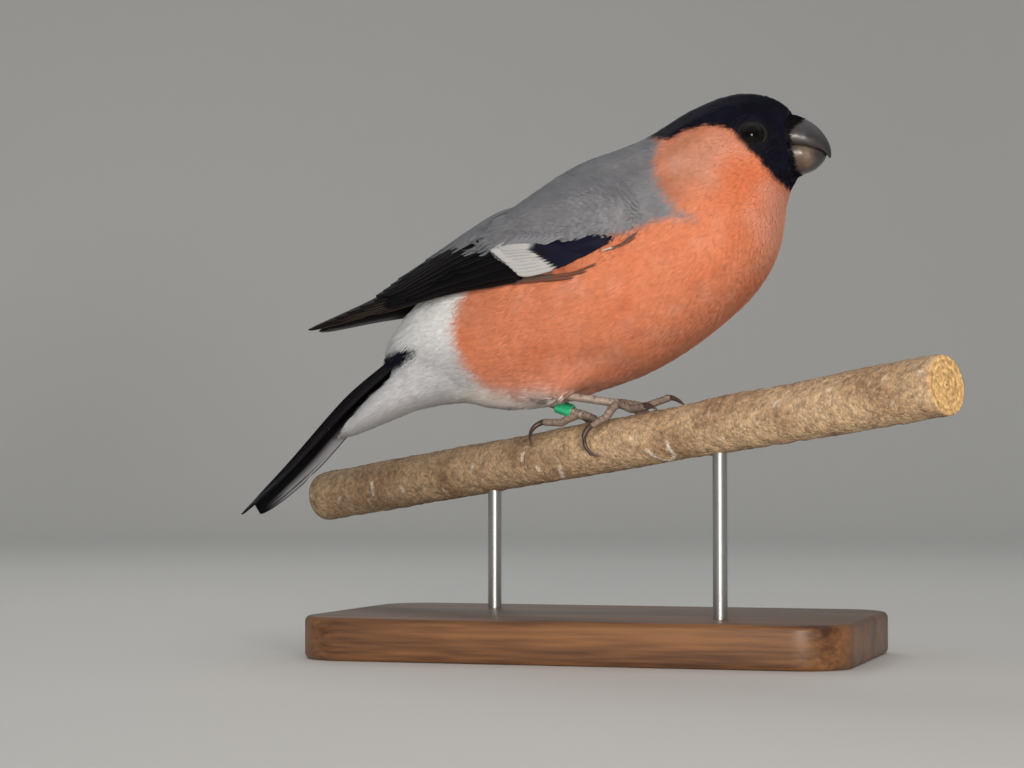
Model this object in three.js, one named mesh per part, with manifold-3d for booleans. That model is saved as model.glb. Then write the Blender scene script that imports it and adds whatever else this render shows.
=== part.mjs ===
// A male bullfinch, life size, on a short length of perch that two rods hold over a flat base.
// Millimetres, +Z up. The bird faces +X and its left side is +Y. The origin is the middle of the underside.
import * as THREE from "three";
import { mergeVertices } from "three/addons/utils/BufferGeometryUtils.js";
import Module from "manifold-3d";

const wasm = await Module();
wasm.setup();

// Driving sizes
const GAP = 0.3; // between any two pieces
const EYE_SOCKET_GAP = 0.45; // wider, since the socket has fewer sides than the eye
const TIDY = 0.12; // points that move a surface by less than this are left out
const PERCH_RADIUS = 5.65; // under the feet
const PERCH_SWELL = { front: 0.4, rear: 0.15 }; // a natural branch is a little thicker away from the feet
const PERCH_HALF = 90; // half of the cut length
const PERCH_TOP = 50; // height of the perch's upper side under the bird
const PERCH_YAW = -28; // degrees from +X
const PERCH_RISE = 7; // degrees, front end up
const BASE = { length: 116, width: 66, height: 9, corner: 11, bevel: 1.2 };
const ROD = { radius: 1.5, along: 33, intoBase: 5, intoPerch: 6 };
const EYE = { x: 34.9, y: 8.4, z: 108.5, radius: 3.2 };
const TARSUS = { radius: 0.85, foot: 1.35 };
const TOE_RADIUS = 0.92;
const RING = { inner: 1.12, outer: 1.5, height: 3.9, fromFoot: 3.7 };
const QUILL_THICKNESS = 0.8;
const TAIL_PAIRS = 6;
const TAIL_SPREAD = 0.85; // between one tail feather and the next, at the tip
const TAIL_LAYER = 0.5; // each tail feather lies under the one before
const TAIL_NOTCH = 2.0; // the middle pair is this much shorter
const TAIL_QUILL = 3.0; // half of a tail feather's width

// Colours of the bird and its mount
const PAINT = {
  black: { color: 0x16161c, roughness: 0.6 },
  rose: { color: 0xdb7a54, roughness: 0.9 },
  ash: { color: 0x7b7d83, roughness: 0.9 },
  white: { color: 0xd9dcdc, roughness: 0.9 },
  horn: { color: 0x2b2926, roughness: 0.35 },
  eye: { color: 0x0d0a09, roughness: 0.08 },
  leg: { color: 0x6b5750, roughness: 0.6 },
  green: { color: 0x2fae7c, roughness: 0.3, metalness: 0.8 },
  bark: { color: 0x94785a, roughness: 0.95 },
  wood: { color: 0x6e4a2e, roughness: 0.5 },
  steel: { color: 0xb4b6b8, roughness: 0.35, metalness: 1 },
};

const vec = (x, y, z) => new THREE.Vector3(x, y, z);
const lerp = THREE.MathUtils.lerp;
const radians = THREE.MathUtils.degToRad;
const smooth = (x) => THREE.MathUtils.smoothstep(x, 0, 1);
const path = (points) => new THREE.CatmullRomCurve3(points, false, "centripetal");

// A geometry as a closed solid, turned the right way out
function solid(geometry) {
  const bare = geometry.index ? geometry.toNonIndexed() : geometry.clone();
  bare.deleteAttribute("normal");
  bare.deleteAttribute("uv");
  const merged = mergeVertices(bare, 1e-4);
  const triVerts = new Uint32Array(merged.index.array);
  const vertProperties = merged.attributes.position.array;
  const made = new wasm.Manifold(new wasm.Mesh({ numProp: 3, vertProperties, triVerts }));
  if (made.volume() >= 0) return made;
  for (let i = 0; i < triVerts.length; i += 3) {
    [triVerts[i + 1], triVerts[i + 2]] = [triVerts[i + 2], triVerts[i + 1]];
  }
  return new wasm.Manifold(new wasm.Mesh({ numProp: 3, vertProperties, triVerts }));
}
const union = (solids) => solids.reduce((all, next) => all.add(next));
const larger = (one, other) => (other.volume() > one.volume() ? other : one);
const largest = (made) => made.decompose().reduce(larger);
const without = (made, ...cutters) => largest(cutters.reduce((left, cut) => left.subtract(cut), made));

// A sphere whose points are moved: t runs from 0 at one pole to 1 at the other, angle goes round
function blob(around, along, place) {
  const geometry = new THREE.SphereGeometry(1, around, along);
  const at = geometry.attributes.position;
  for (let i = 0; i < at.count; i++) {
    const t = Math.acos(THREE.MathUtils.clamp(at.getY(i), -1, 1)) / Math.PI;
    const p = place(t, Math.atan2(at.getZ(i), at.getX(i)));
    at.setXYZ(i, p.x, p.y, p.z);
  }
  return solid(geometry);
}

// A limb, toe or claw along a curve: across and deep are its half sizes, and up says which way deep goes.
// Its rings stand closer together towards the ends.
function limb({ curve, across, deep = across, up, sides = 8, steps = 8, grow = 0 }) {
  return blob(sides, steps, (share, angle) => {
    const t = share - Math.sin(2 * Math.PI * share) / 10;
    const tangent = curve.getTangent(t);
    const lift = up(t).clone();
    lift.addScaledVector(tangent, -lift.dot(tangent)).normalize();
    const point = curve.getPoint(t);
    if (share === 0 || share === 1) return point.addScaledVector(tangent, share ? grow : -grow);
    return point
      .addScaledVector(tangent.clone().cross(lift), (across(t) + grow) * Math.cos(angle))
      .addScaledVector(lift, (deep(t) + grow) * Math.sin(angle));
  });
}
const upright = () => vec(0, 0, 1);

// A feather is a flat plate, the same thickness to its edges
function feather({ curve, across, up, grow = 0 }) {
  const corner = Math.SQRT2;
  const place = (t, angle) => {
    const tangent = curve.getTangent(t);
    const lift = up(t).clone();
    lift.addScaledVector(tangent, -lift.dot(tangent)).normalize();
    const point = curve.getPoint(t);
    if (t === 0 || t === 1) return point.addScaledVector(tangent, t ? grow : -grow);
    const turned = angle + Math.PI / 4;
    return point
      .addScaledVector(tangent.clone().cross(lift), (across(t) + grow) * corner * Math.cos(turned))
      .addScaledVector(lift, (QUILL_THICKNESS / 2 + grow) * corner * Math.sin(turned));
  };
  return blob(4, 4, (share, angle) => place(1 - (1 - share) ** 2, angle));
}

// A form that is given by its outline from the side. Each section has an upper and a lower point, [x, z],
// a half width, and how far below the middle it is widest, as a share of its half height.
function form({ sections, around, along, roundEnds = [1, 1], grow = 0 }) {
  const upper = path(sections.map((s) => vec(s.top[0], 0, s.top[1])));
  const lower = path(sections.map((s) => vec(s.low[0], 0, s.low[1])));
  const width = path(sections.map((s, i) => vec(s.wide, s.sag ?? 0, i)));
  const last = sections.length - 1;
  const made = () =>
    blob(around, along, (t, angle) => {
      const top = upper.getPoint(t);
      const low = lower.getPoint(t);
      const size = width.getPoint(t);
      const fromStart = Math.min(1, (t * last) / roundEnds[0]);
      const fromEnd = Math.min(1, ((1 - t) * last) / roundEnds[1]);
      const rounding = Math.sqrt(1 - (1 - fromStart) ** 2) * Math.sqrt(1 - (1 - fromEnd) ** 2);
      const middle = top.clone().add(low).multiplyScalar(0.5);
      if (rounding === 0) {
        const ahead = upper.getTangent(t).add(lower.getTangent(t)).normalize();
        return middle.addScaledVector(ahead, t === 0 ? -grow : grow);
      }
      const rise = top.clone().sub(low);
      const half = (rise.length() / 2) * rounding + grow;
      const level = Math.cos(angle) - size.y * Math.sin(angle) ** 2;
      middle.addScaledVector(rise.normalize(), half * level);
      return middle.setY((size.x * rounding + grow) * Math.sin(angle));
    });
  return { upper, lower, made };
}

// The bird's form from the face to the root of the tail, out to the tips of its feathers
const BODY_SECTIONS = [
  { top: [43.9, 112.2], low: [44.3, 102.6], wide: 3.2, sag: 0.0 }, // round the bill
  { top: [41.6, 115.4], low: [43.0, 100.4], wide: 5.4, sag: 0.05 }, // forehead and chin
  { top: [37.4, 118.2], low: [41.4, 98.4], wide: 9.0, sag: 0.1 }, // in front of the eyes
  { top: [31.5, 119.3], low: [40.5, 95.6], wide: 11.6, sag: 0.16 }, // crown
  { top: [25.0, 118.2], low: [40.0, 92.2], wide: 13.0, sag: 0.18 }, // cheeks
  { top: [18.4, 115.3], low: [39.6, 88.4], wide: 14.9, sag: 0.16 }, // nape
  { top: [11.2, 111.0], low: [38.2, 83.4], wide: 17.4, sag: 0.14 }, // collar
  { top: [4.0, 108.3], low: [34.4, 77.0], wide: 19.8, sag: 0.12 }, // shoulders
  { top: [-3.5, 106.1], low: [27.2, 70.2], wide: 21.4, sag: 0.1 }, // breast
  { top: [-10.5, 102.2], low: [18.6, 64.0], wide: 21.9, sag: 0.1 }, // belly
  { top: [-17.3, 98.0], low: [9.8, 59.3], wide: 21.2, sag: 0.1 }, // flanks
  { top: [-24.0, 93.2], low: [-0.5, 55.9], wide: 19.2, sag: 0.1 }, // loins
  { top: [-31.0, 87.6], low: [-12.0, 53.2], wide: 16.2, sag: 0.08 }, // thighs
  { top: [-38.2, 79.8], low: [-23.0, 52.9], wide: 12.6, sag: 0.06 }, // vent
  { top: [-44.8, 70.6], low: [-33.5, 55.4], wide: 9.2, sag: 0.04 }, // rump
  { top: [-52.0, 61.8], low: [-45.0, 55.6], wide: 6.2, sag: 0.0 }, // root of the tail
];
const BODY_DETAIL = { around: 20, along: 27 };
const HEAD_ENDS = 4.5; // in sections from the face
const NECK_ENDS = 6.6;
const TRUNK_ENDS = 12.3;
const body = form({ sections: BODY_SECTIONS, ...BODY_DETAIL });

// The soft white feathers under the tail
const UNDERTAIL_SECTIONS = [
  { top: [-27.0, 62.0], low: [-27.0, 56.0], wide: 6.6 },
  { top: [-33.0, 63.0], low: [-32.6, 54.6], wide: 8.0 },
  { top: [-41.0, 63.4], low: [-40.5, 52.7], wide: 8.2 },
  { top: [-48.6, 59.2], low: [-48.4, 49.7], wide: 7.4 },
  { top: [-54.6, 53.8], low: [-55.2, 47.2], wide: 5.8 },
  { top: [-61.0, 47.2], low: [-61.4, 44.8], wide: 2.6 },
];
const undertail = (grow = 0) => form({ sections: UNDERTAIL_SECTIONS, around: 12, along: 9, grow }).made();

// What is ahead of a cut across the body, or behind it; a cut is half a gap on either side
function half(sectionsFromFace, ahead) {
  const t = sectionsFromFace / (BODY_SECTIONS.length - 1);
  const top = body.upper.getPoint(t);
  const low = body.lower.getPoint(t);
  const rise = top.clone().sub(low).normalize();
  const forward = vec(0, 1, 0).cross(rise).normalize();
  const size = 300;
  const away = ((ahead ? 1 : -1) * (size + GAP)) / 2;
  const box = new THREE.BoxGeometry(size, size, size).translate(away, 0, 0);
  const turned = new THREE.Matrix4().makeBasis(forward, vec(0, 1, 0), rise);
  turned.setPosition(top.add(low).multiplyScalar(0.5));
  return solid(box.applyMatrix4(turned));
}

// A folded wing lies between two edges, given for the left side from the wrist to the tip
const WING_LOWER = [
  [14.8, 18.6, 90.4],
  [8.6, 21.4, 85.4],
  [1.0, 22.0, 81.0],
  [-9.0, 21.0, 79.0],
  [-20.0, 18.2, 77.6],
  [-31.0, 13.8, 76.0],
  [-43.0, 9.2, 73.6],
  [-55.6, 5.6, 72.0],
  [-65.8, 3.6, 70.4],
];
const WING_UPPER = [
  [13.6, 17.4, 94.6],
  [6.8, 14.4, 99.4],
  [-4.0, 10.4, 100.6],
  [-14.0, 7.6, 97.2],
  [-24.0, 5.8, 92.0],
  [-34.0, 4.4, 86.4],
  [-44.5, 3.4, 80.4],
  [-55.0, 2.7, 75.6],
  [-65.8, 2.7, 71.3],
];
const WING_BULGE = [0.6, 3.4, 4.4, 4.2, 3.2, 2.0, 1.1, 0.6, 0.2]; // how far it stands out between them

function wingSurface(side) {
  const edge = (points) => path(points.map(([x, y, z]) => vec(x, side * y, z)));
  const lower = edge(WING_LOWER);
  const upper = edge(WING_UPPER);
  const bulge = path(WING_BULGE.map((b, i) => vec(b, i, 0)));
  const at = (place, v, lift = 0) => {
    const s = THREE.MathUtils.clamp(place, 0, 1);
    const chord = upper.getPoint(s).sub(lower.getPoint(s));
    const out = chord.cross(lower.getTangent(s)).normalize().multiplyScalar(-side);
    const stands = 4 * v * (1 - v) * bulge.getPoint(s).x + lift;
    return lower.getPoint(s).lerp(upper.getPoint(s), v).addScaledVector(out, stands);
  };
  const normal = (s, v) => {
    const step = 0.02;
    const along = at(s + step, v).sub(at(s - step, v));
    const over = at(s, v + step).sub(at(s, v - step));
    return over.cross(along).normalize().multiplyScalar(-side);
  };
  return { at, normal };
}

// The coverts are one cushion over the front of the wing, out to their tips
const COVERTS = { end: 0.5, thick: 1.5, lift: 0.5, wide: 16, long: 80, around: 14, along: 8 };
function wingCoverts(side, grow = 0) {
  const wing = wingSurface(side);
  return blob(COVERTS.around, COVERTS.along, (t, angle) => {
    const pole = t === 0 || t === 1;
    const open = pole ? 0 : Math.sqrt(1 - (2 * t - 1) ** 4);
    const v = 0.5 - Math.cos(angle) * (0.5 * open + (pole ? 0 : grow / COVERTS.wide));
    const skin = (COVERTS.thick * open + (pole ? 0 : grow)) * Math.sin(angle) + COVERTS.lift;
    return wing.at(COVERTS.end * t + ((2 * t - 1) * grow) / COVERTS.long, v, skin);
  });
}

// A quill feather on the wing, from one place on it to another: [s, v]
function remex(side, { from, to, wide, lift }, grow) {
  const wing = wingSurface(side);
  const place = (k) => [lerp(from[0], to[0], k), lerp(from[1], to[1], smooth(k))];
  return feather({
    curve: path([0, 0.25, 0.5, 0.75, 1].map((k) => wing.at(...place(k), lift))),
    across: (t) => wide * Math.min(1, 0.45 + 1.6 * t) * Math.sqrt(1 - t ** 7),
    up: (t) => wing.normal(...place(t)),
    grow,
  });
}
const spread = (count, quill) => Array.from({ length: count }, (_, k) => quill(k / (count - 1), k));
const SECONDARIES = [
  ...spread(4, (share, k) => ({
    from: [0.4, lerp(0.2, 0.6, share)],
    to: [lerp(0.745, 0.69, share), lerp(0.3, 0.64, share)],
    wide: 3.3,
    lift: 0.1 + 0.15 * k,
  })),
  ...spread(2, (share, k) => ({
    from: [0.36, lerp(0.7, 0.84, share)],
    to: [lerp(0.66, 0.56, share), lerp(0.78, 0.85, share)],
    wide: 3.3,
    lift: 0.75 + 0.2 * k,
  })),
];
const PRIMARIES = spread(4, (share, k) => ({
  from: [0.42, lerp(0.06, 0.34, share)],
  to: [1 - 0.19 * share ** 1.2, lerp(0.35, 0.62, share)],
  wide: lerp(1.7, 2.6, share),
  lift: -0.6 + 0.12 * k,
}));
const quills = (side, set, grow = 0) => union(set.map((quill) => remex(side, quill, grow)));

// The room that the quills take out of the body's flank
const ROOM = { start: 0.35, end: 0.9, middle: 0.48, wide: 0.62, deep: 2.2, around: 8, along: 7 };
function wingRoom(side) {
  const wing = wingSurface(side);
  return blob(ROOM.around, ROOM.along, (t, angle) => {
    const open = t === 0 || t === 1 ? 0 : Math.sqrt(1 - (2 * t - 1) ** 6);
    const v = ROOM.middle - ROOM.wide * open * Math.cos(angle);
    return wing.at(lerp(ROOM.start, ROOM.end, t), v, ROOM.deep * open * Math.sin(angle));
  });
}

// The tail: feathers in two halves that slope down from the middle pair, as a low roof
const TAIL_DOWN = vec(0.7, 0, -0.714);
function tail(grow = 0) {
  const feathers = [-1, 1].flatMap((side) =>
    spread(TAIL_PAIRS, (share, k) => {
      const root = 0.5 + 0.55 * k;
      const tip = 1.1 + TAIL_SPREAD * k;
      const shorter = TAIL_NOTCH * (1 - share);
      const line = [
        vec(-42.5, side * root, 68.6),
        vec(-56.5, (side * (root + tip)) / 2, 55.9),
        vec(-70.6, side * tip, 41.2),
        vec(-81.6 + shorter * 0.7, side * tip, 30.3 + shorter * 0.71),
      ];
      return feather({
        curve: path(line.map((p) => p.addScaledVector(TAIL_DOWN, TAIL_LAYER * k))),
        across: (t) => TAIL_QUILL * Math.min(1, 0.7 + t) * Math.sqrt(1 - t ** 9),
        up: () => TAIL_DOWN.clone().multiplyScalar(-1).add(vec(0, side * (0.12 + 0.06 * k), 0)),
        grow,
      });
    }),
  );
  return union(feathers);
}

// The bill: two short, deep halves
const UPPER_BILL = [
  { top: [38.8, 111.4], low: [39.0, 107.0], wide: 4.4, sag: 0.3 },
  { top: [42.0, 113.2], low: [41.8, 107.1], wide: 5.0, sag: 0.35 },
  { top: [44.4, 112.9], low: [44.0, 106.9], wide: 4.7, sag: 0.35 },
  { top: [46.6, 111.7], low: [46.2, 106.4], wide: 3.9, sag: 0.3 },
  { top: [48.5, 109.7], low: [48.1, 106.0], wide: 2.7, sag: 0.2 },
  { top: [49.8, 107.3], low: [49.3, 105.2], wide: 1.4, sag: 0.1 },
  { top: [50.2, 105.0], low: [49.8, 104.4], wide: 0.5, sag: 0.0 },
];
const LOWER_BILL = [
  { top: [39.0, 107.0], low: [39.6, 102.4], wide: 4.0, sag: -0.3 },
  { top: [41.8, 107.6], low: [42.2, 101.4], wide: 4.7, sag: -0.35 },
  { top: [44.2, 107.5], low: [44.4, 101.4], wide: 4.4, sag: -0.35 },
  { top: [46.2, 107.0], low: [46.4, 102.2], wide: 3.6, sag: -0.3 },
  { top: [48.0, 106.4], low: [47.9, 103.4], wide: 2.4, sag: -0.2 },
  { top: [49.2, 105.8], low: [49.0, 104.8], wide: 1.0, sag: 0.0 },
];
const BILL_DETAIL = { around: 14, along: 9, roundEnds: [0.4, 0.5] };
const bill = (sections, grow = 0) => form({ sections, ...BILL_DETAIL, grow }).made();

// The socket for both halves in the face: an oval hole
const BILL_SOCKET = { from: 38.2, to: 50, z: 107.35, wide: 5.5, high: 6.3 };
function billSocket() {
  const { from, to, z, wide, high } = BILL_SOCKET;
  const hole = new THREE.CylinderGeometry(1, 1, to - from, 12).rotateZ(Math.PI / 2).scale(1, high, wide);
  return solid(hole.rotateX(Math.PI / 2).translate((from + to) / 2, 0, z));
}

// The perch's own frame: how far along it, how far round it (0 on top, above 0 towards the bird's left), and
// how far out from its axis
const yaw = radians(PERCH_YAW);
const rise = radians(PERCH_RISE);
const PERCH_ALONG = vec(Math.cos(yaw) * Math.cos(rise), Math.sin(yaw) * Math.cos(rise), Math.sin(rise));
const PERCH_OVER = vec(0, 0, 1).addScaledVector(PERCH_ALONG, -PERCH_ALONG.z).normalize();
const PERCH_SIDE = PERCH_OVER.clone().cross(PERCH_ALONG);
function onPerch(along, round, out) {
  return vec(0, 0, PERCH_TOP - PERCH_RADIUS)
    .addScaledVector(PERCH_ALONG, along)
    .addScaledVector(PERCH_OVER, Math.cos(round) * out)
    .addScaledVector(PERCH_SIDE, Math.sin(round) * out);
}

// A toe or a claw walks over the perch from a place, on a heading that turns as it goes
function walk({ start, heading, turn, length, height }) {
  const steps = 10;
  const points = [];
  const places = [start];
  for (let i = 0; i <= steps; i++) {
    const [along, round] = places[i];
    const way = radians(heading + (turn * i) / steps);
    points.push(onPerch(along, round, PERCH_RADIUS + height(i / steps)));
    const stride = length / steps;
    places.push([along + Math.cos(way) * stride, round + (Math.sin(way) * stride) / (PERCH_RADIUS + 1)]);
  }
  return { curve: path(points), nearEnd: places[steps - 1], heading: heading + turn };
}

// Feet: where each joint stands on the perch, where its heel is, and how its toes go, in degrees from the
// perch's line. Lifted is how high the last joint of a toe is raised.
const FEET = {
  right: {
    joint: [7.4, -0.12, 2.8],
    heel: [-10.4, -7.6, 56.0],
    toes: {
      hallux: { heading: 258, turn: -44, length: 7.0, lifted: 0.4, claw: 9.2, clawTurn: 138 },
      inner: { heading: 52, turn: 10, length: 8.6, lifted: 0.3, claw: 4.4, clawTurn: 12 },
      middle: { heading: 4, turn: 12, length: 12.8, lifted: 1.1, claw: 4.6, clawTurn: 4 },
      outer: { heading: -16, turn: 8, length: 9.4, lifted: 0.2, claw: 4.4, clawTurn: -8 },
    },
  },
  left: {
    joint: [-5.4, 0.05, 2.3],
    heel: [-21.0, 5.6, 57.0],
    toes: {
      hallux: { heading: 207, turn: -12, length: 8.4, lifted: 0.9, claw: 7.4, clawTurn: 130 },
      inner: { heading: 52, turn: 6, length: 8.6, lifted: 0.2, claw: 4.2, clawTurn: 10 },
      middle: { heading: 68, turn: 8, length: 12.4, lifted: 0.2, claw: 4.6, clawTurn: 12 },
      outer: { heading: 88, turn: 10, length: 9.6, lifted: 0.2, claw: 4.4, clawTurn: 14 },
    },
  },
};
const TOE_REST = GAP + TOE_RADIUS;
const CLAW_TIP = 0.45; // height of a claw's point over the perch
const CLAW_RADIUS = 0.55; // at its root, over that of its point
const CLAW_POINT = 0.14;
const footJoint = (foot) => onPerch(foot.joint[0], foot.joint[1], PERCH_RADIUS + foot.joint[2]);
function toeWalk(foot, toe) {
  const down = foot.joint[2] - TOE_REST;
  return walk({
    start: foot.joint.slice(0, 2),
    heading: toe.heading,
    turn: toe.turn,
    length: toe.length,
    height: (t) => TOE_REST + down * (1 - smooth(1.8 * t)) + toe.lifted * smooth(2 * t - 1),
  });
}
function toeSolid(foot, toe, grow = 0) {
  const pads = (t) => 1 + 0.08 * Math.cos(t * Math.PI * 6);
  return limb({
    curve: toeWalk(foot, toe).curve,
    across: (t) => TOE_RADIUS * (1.08 - 0.26 * t) * Math.min(1, Math.sqrt((1 - t) * 12)) * pads(t),
    up: upright,
    sides: 6,
    steps: 7,
    grow,
  });
}
function clawSolid(foot, toe, grow = 0) {
  const before = toeWalk(foot, toe);
  const top = TOE_REST + toe.lifted;
  const { curve } = walk({
    start: before.nearEnd,
    heading: before.heading,
    turn: toe.clawTurn,
    length: toe.claw,
    height: (t) => lerp(top, CLAW_TIP, t) + 0.7 * Math.sin(Math.PI * t) * (1 - 0.4 * t),
  });
  const across = (t) => CLAW_RADIUS * (1 - t) ** 0.75 + CLAW_POINT;
  return limb({ curve, across, up: upright, sides: 5, steps: 6, grow });
}
function tarsusSolid(foot, grow = 0) {
  const joint = footJoint(foot);
  const heel = vec(...foot.heel);
  const size = (t, narrow) => lerp(TARSUS.foot * narrow, TARSUS.radius, smooth(3.2 * t));
  return limb({
    curve: path([joint.clone().lerp(heel, -0.06), joint.clone().lerp(heel, 0.2), heel]),
    across: (t) => size(t, 1),
    deep: (t) => size(t, 0.8),
    up: upright,
    sides: 8,
    steps: 8,
    grow,
  });
}

// The feathered thigh swells the belly over the heel
const THIGH = { long: 11, wide: 5.4, high: 5.6, ahead: 5.4, above: 4.6, outward: 0.6, slope: -24 };
function thighSolid(foot, grow = 0) {
  const ball = new THREE.SphereGeometry(1, 11, 6);
  ball.scale(THIGH.long + grow, THIGH.wide + grow, THIGH.high + grow).rotateY(radians(THIGH.slope));
  const [x, y, z] = foot.heel;
  return solid(ball.translate(x + THIGH.ahead, y + Math.sign(y) * THIGH.outward, z + THIGH.above));
}

// The ring on the left leg: a turned band that stands clear of the tarsus
function ringSolid(grow = 0) {
  const joint = footJoint(FEET.left);
  const way = vec(...FEET.left.heel).sub(joint).normalize();
  const high = RING.height / 2 + grow;
  const inner = RING.inner - grow;
  const outer = RING.outer + grow;
  const profile = [
    [inner, -high],
    [outer, -high],
    [outer, high],
    [inner, high],
    [inner, -high],
  ];
  const band = new THREE.LatheGeometry(profile.map(([x, y]) => new THREE.Vector2(x, y)), 16);
  band.applyQuaternion(new THREE.Quaternion().setFromUnitVectors(vec(0, 1, 0), way));
  const middle = joint.clone().addScaledVector(way, RING.fromFoot);
  return solid(band.translate(middle.x, middle.y, middle.z));
}

// Perch and stand
function perchSolid() {
  const swell = (y) => PERCH_SWELL.front * smooth((y - 20) / 24) + PERCH_SWELL.rear * smooth((-y - 20) / 24);
  const stations = [-PERCH_HALF, -44, -20, 20, 44, PERCH_HALF];
  const side = stations.map((y) => new THREE.Vector2(PERCH_RADIUS + swell(y), y));
  const profile = [new THREE.Vector2(0, -PERCH_HALF), ...side, new THREE.Vector2(0, PERCH_HALF)];
  const turned = new THREE.Matrix4().makeBasis(PERCH_SIDE, PERCH_ALONG, PERCH_OVER);
  turned.setPosition(onPerch(0, 0, 0));
  return solid(new THREE.LatheGeometry(profile, 18).applyMatrix4(turned));
}
function rodSolid(along, grow = 0) {
  const under = onPerch(along, Math.PI, PERCH_RADIUS);
  const bottom = BASE.height - ROD.intoBase - grow;
  const top = under.z + ROD.intoPerch + grow;
  const rod = new THREE.CylinderGeometry(ROD.radius + grow, ROD.radius + grow, top - bottom, 12);
  rod.rotateX(Math.PI / 2);
  return solid(rod.translate(under.x, under.y, (top + bottom) / 2));
}
function baseSolid() {
  const { length, width, height, corner, bevel } = BASE;
  const x = length / 2 - bevel;
  const y = width / 2 - bevel;
  const r = corner - bevel;
  const quarter = Math.PI / 2;
  const outline = new THREE.Shape();
  outline.absarc(x - r, r - y, r, -quarter, 0, false);
  outline.absarc(x - r, y - r, r, 0, quarter, false);
  outline.absarc(r - x, y - r, r, quarter, 2 * quarter, false);
  outline.absarc(r - x, r - y, r, 2 * quarter, 3 * quarter, false);
  outline.closePath();
  const plate = new THREE.ExtrudeGeometry(outline, {
    depth: height - 2 * bevel,
    bevelThickness: bevel,
    bevelSize: bevel,
    bevelSegments: 1,
    curveSegments: 3,
  });
  return solid(plate.translate(0, 0, bevel));
}

const bird = new THREE.Group();
function add(name, made, paint) {
  const { vertProperties, triVerts } = largest(made.simplify(TIDY)).getMesh();
  const geometry = new THREE.BufferGeometry();
  geometry.setAttribute("position", new THREE.BufferAttribute(new Float32Array(vertProperties), 3));
  geometry.setIndex(new THREE.BufferAttribute(new Uint32Array(triVerts), 1));
  geometry.computeVertexNormals();
  const piece = new THREE.Mesh(geometry, new THREE.MeshStandardMaterial(PAINT[paint]));
  piece.name = name;
  bird.add(piece);
}
const inBody = []; // grown shapes of all that is let into the body

// Wings
for (const [name, side] of [["right", -1], ["left", 1]]) {
  const coverts = wingCoverts(side, GAP);
  const arm = quills(side, SECONDARIES, GAP);
  add(`wing_${name}_coverts`, wingCoverts(side), "ash");
  add(`wing_${name}_secondaries`, without(quills(side, SECONDARIES), coverts), "black");
  add(`wing_${name}_primaries`, without(quills(side, PRIMARIES), coverts, arm), "black");
  inBody.push(coverts, wingRoom(side));
}

// Legs and the ring
const ring = ringSolid(GAP);
inBody.push(ring);
add("leg_ring", ringSolid(), "green");
const thighs = [];
for (const [name, foot] of Object.entries(FEET)) {
  const tarsus = tarsusSolid(foot, GAP);
  const taken = [tarsus, ring];
  add(`tarsus_${name}`, tarsusSolid(foot), "leg");
  for (const [toeName, toe] of Object.entries(foot.toes)) {
    add(`toe_${name}_${toeName}`, without(toeSolid(foot, toe), ...taken, clawSolid(foot, toe, GAP)), "leg");
    add(`claw_${name}_${toeName}`, clawSolid(foot, toe), "horn");
    taken.push(toeSolid(foot, toe, GAP));
  }
  thighs.push(thighSolid(foot, GAP));
  add(`thigh_${name}`, without(thighSolid(foot), tarsus, ring), "rose");
  inBody.push(tarsus);
}

// Eyes and bill
for (const [name, side] of [["right", -1], ["left", 1]]) {
  const ball = (radius, around, along) => {
    return solid(new THREE.SphereGeometry(radius, around, along).translate(EYE.x, side * EYE.y, EYE.z));
  };
  add(`eye_${name}`, ball(EYE.radius, 12, 8), "eye");
  inBody.push(ball(EYE.radius + EYE_SOCKET_GAP, 10, 6));
}
add("bill_upper", bill(UPPER_BILL), "horn");
add("bill_lower", without(bill(LOWER_BILL), bill(UPPER_BILL, GAP)), "horn");
inBody.push(billSocket());

// Head, neck, trunk, rump, tail and what lies under it
const whole = without(body.made(), ...inBody);
const part = (...halves) => largest(halves.reduce((left, box) => left.intersect(box), whole));
const tailRoom = tail(GAP);
add("head", part(half(HEAD_ENDS, true)), "black");
add("neck", part(half(HEAD_ENDS, false), half(NECK_ENDS, true)), "rose");
add("trunk", without(part(half(NECK_ENDS, false), half(TRUNK_ENDS, true)), ...thighs), "rose");
add("rump", without(part(half(TRUNK_ENDS, false)), undertail(GAP), tailRoom, ...thighs), "white");
add("undertail_coverts", without(undertail(), tailRoom, half(TRUNK_ENDS, true)), "white");
add("tail", tail(), "black");

// Perch and stand
const rods = [ROD.along, -ROD.along];
const sockets = rods.map((along) => rodSolid(along, GAP));
add("perch", without(perchSolid(), ...sockets), "bark");
add("stand_base", without(baseSolid(), ...sockets), "wood");
add("stand_rod_front", rodSolid(rods[0]), "steel");
add("stand_rod_rear", rodSolid(rods[1]), "steel");

export default bird;
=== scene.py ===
# A male bullfinch on a cut perch over a plain stand: its skin, its plumage and the finish of every piece.
# Blender works in metres. Sizes here are written in millimetres, and MM turns them.
import math

import bmesh
import bpy
import numpy as np
from mathutils import Matrix, Vector, noise
from mathutils.bvhtree import BVHTree
from mathutils.kdtree import KDTree


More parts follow.
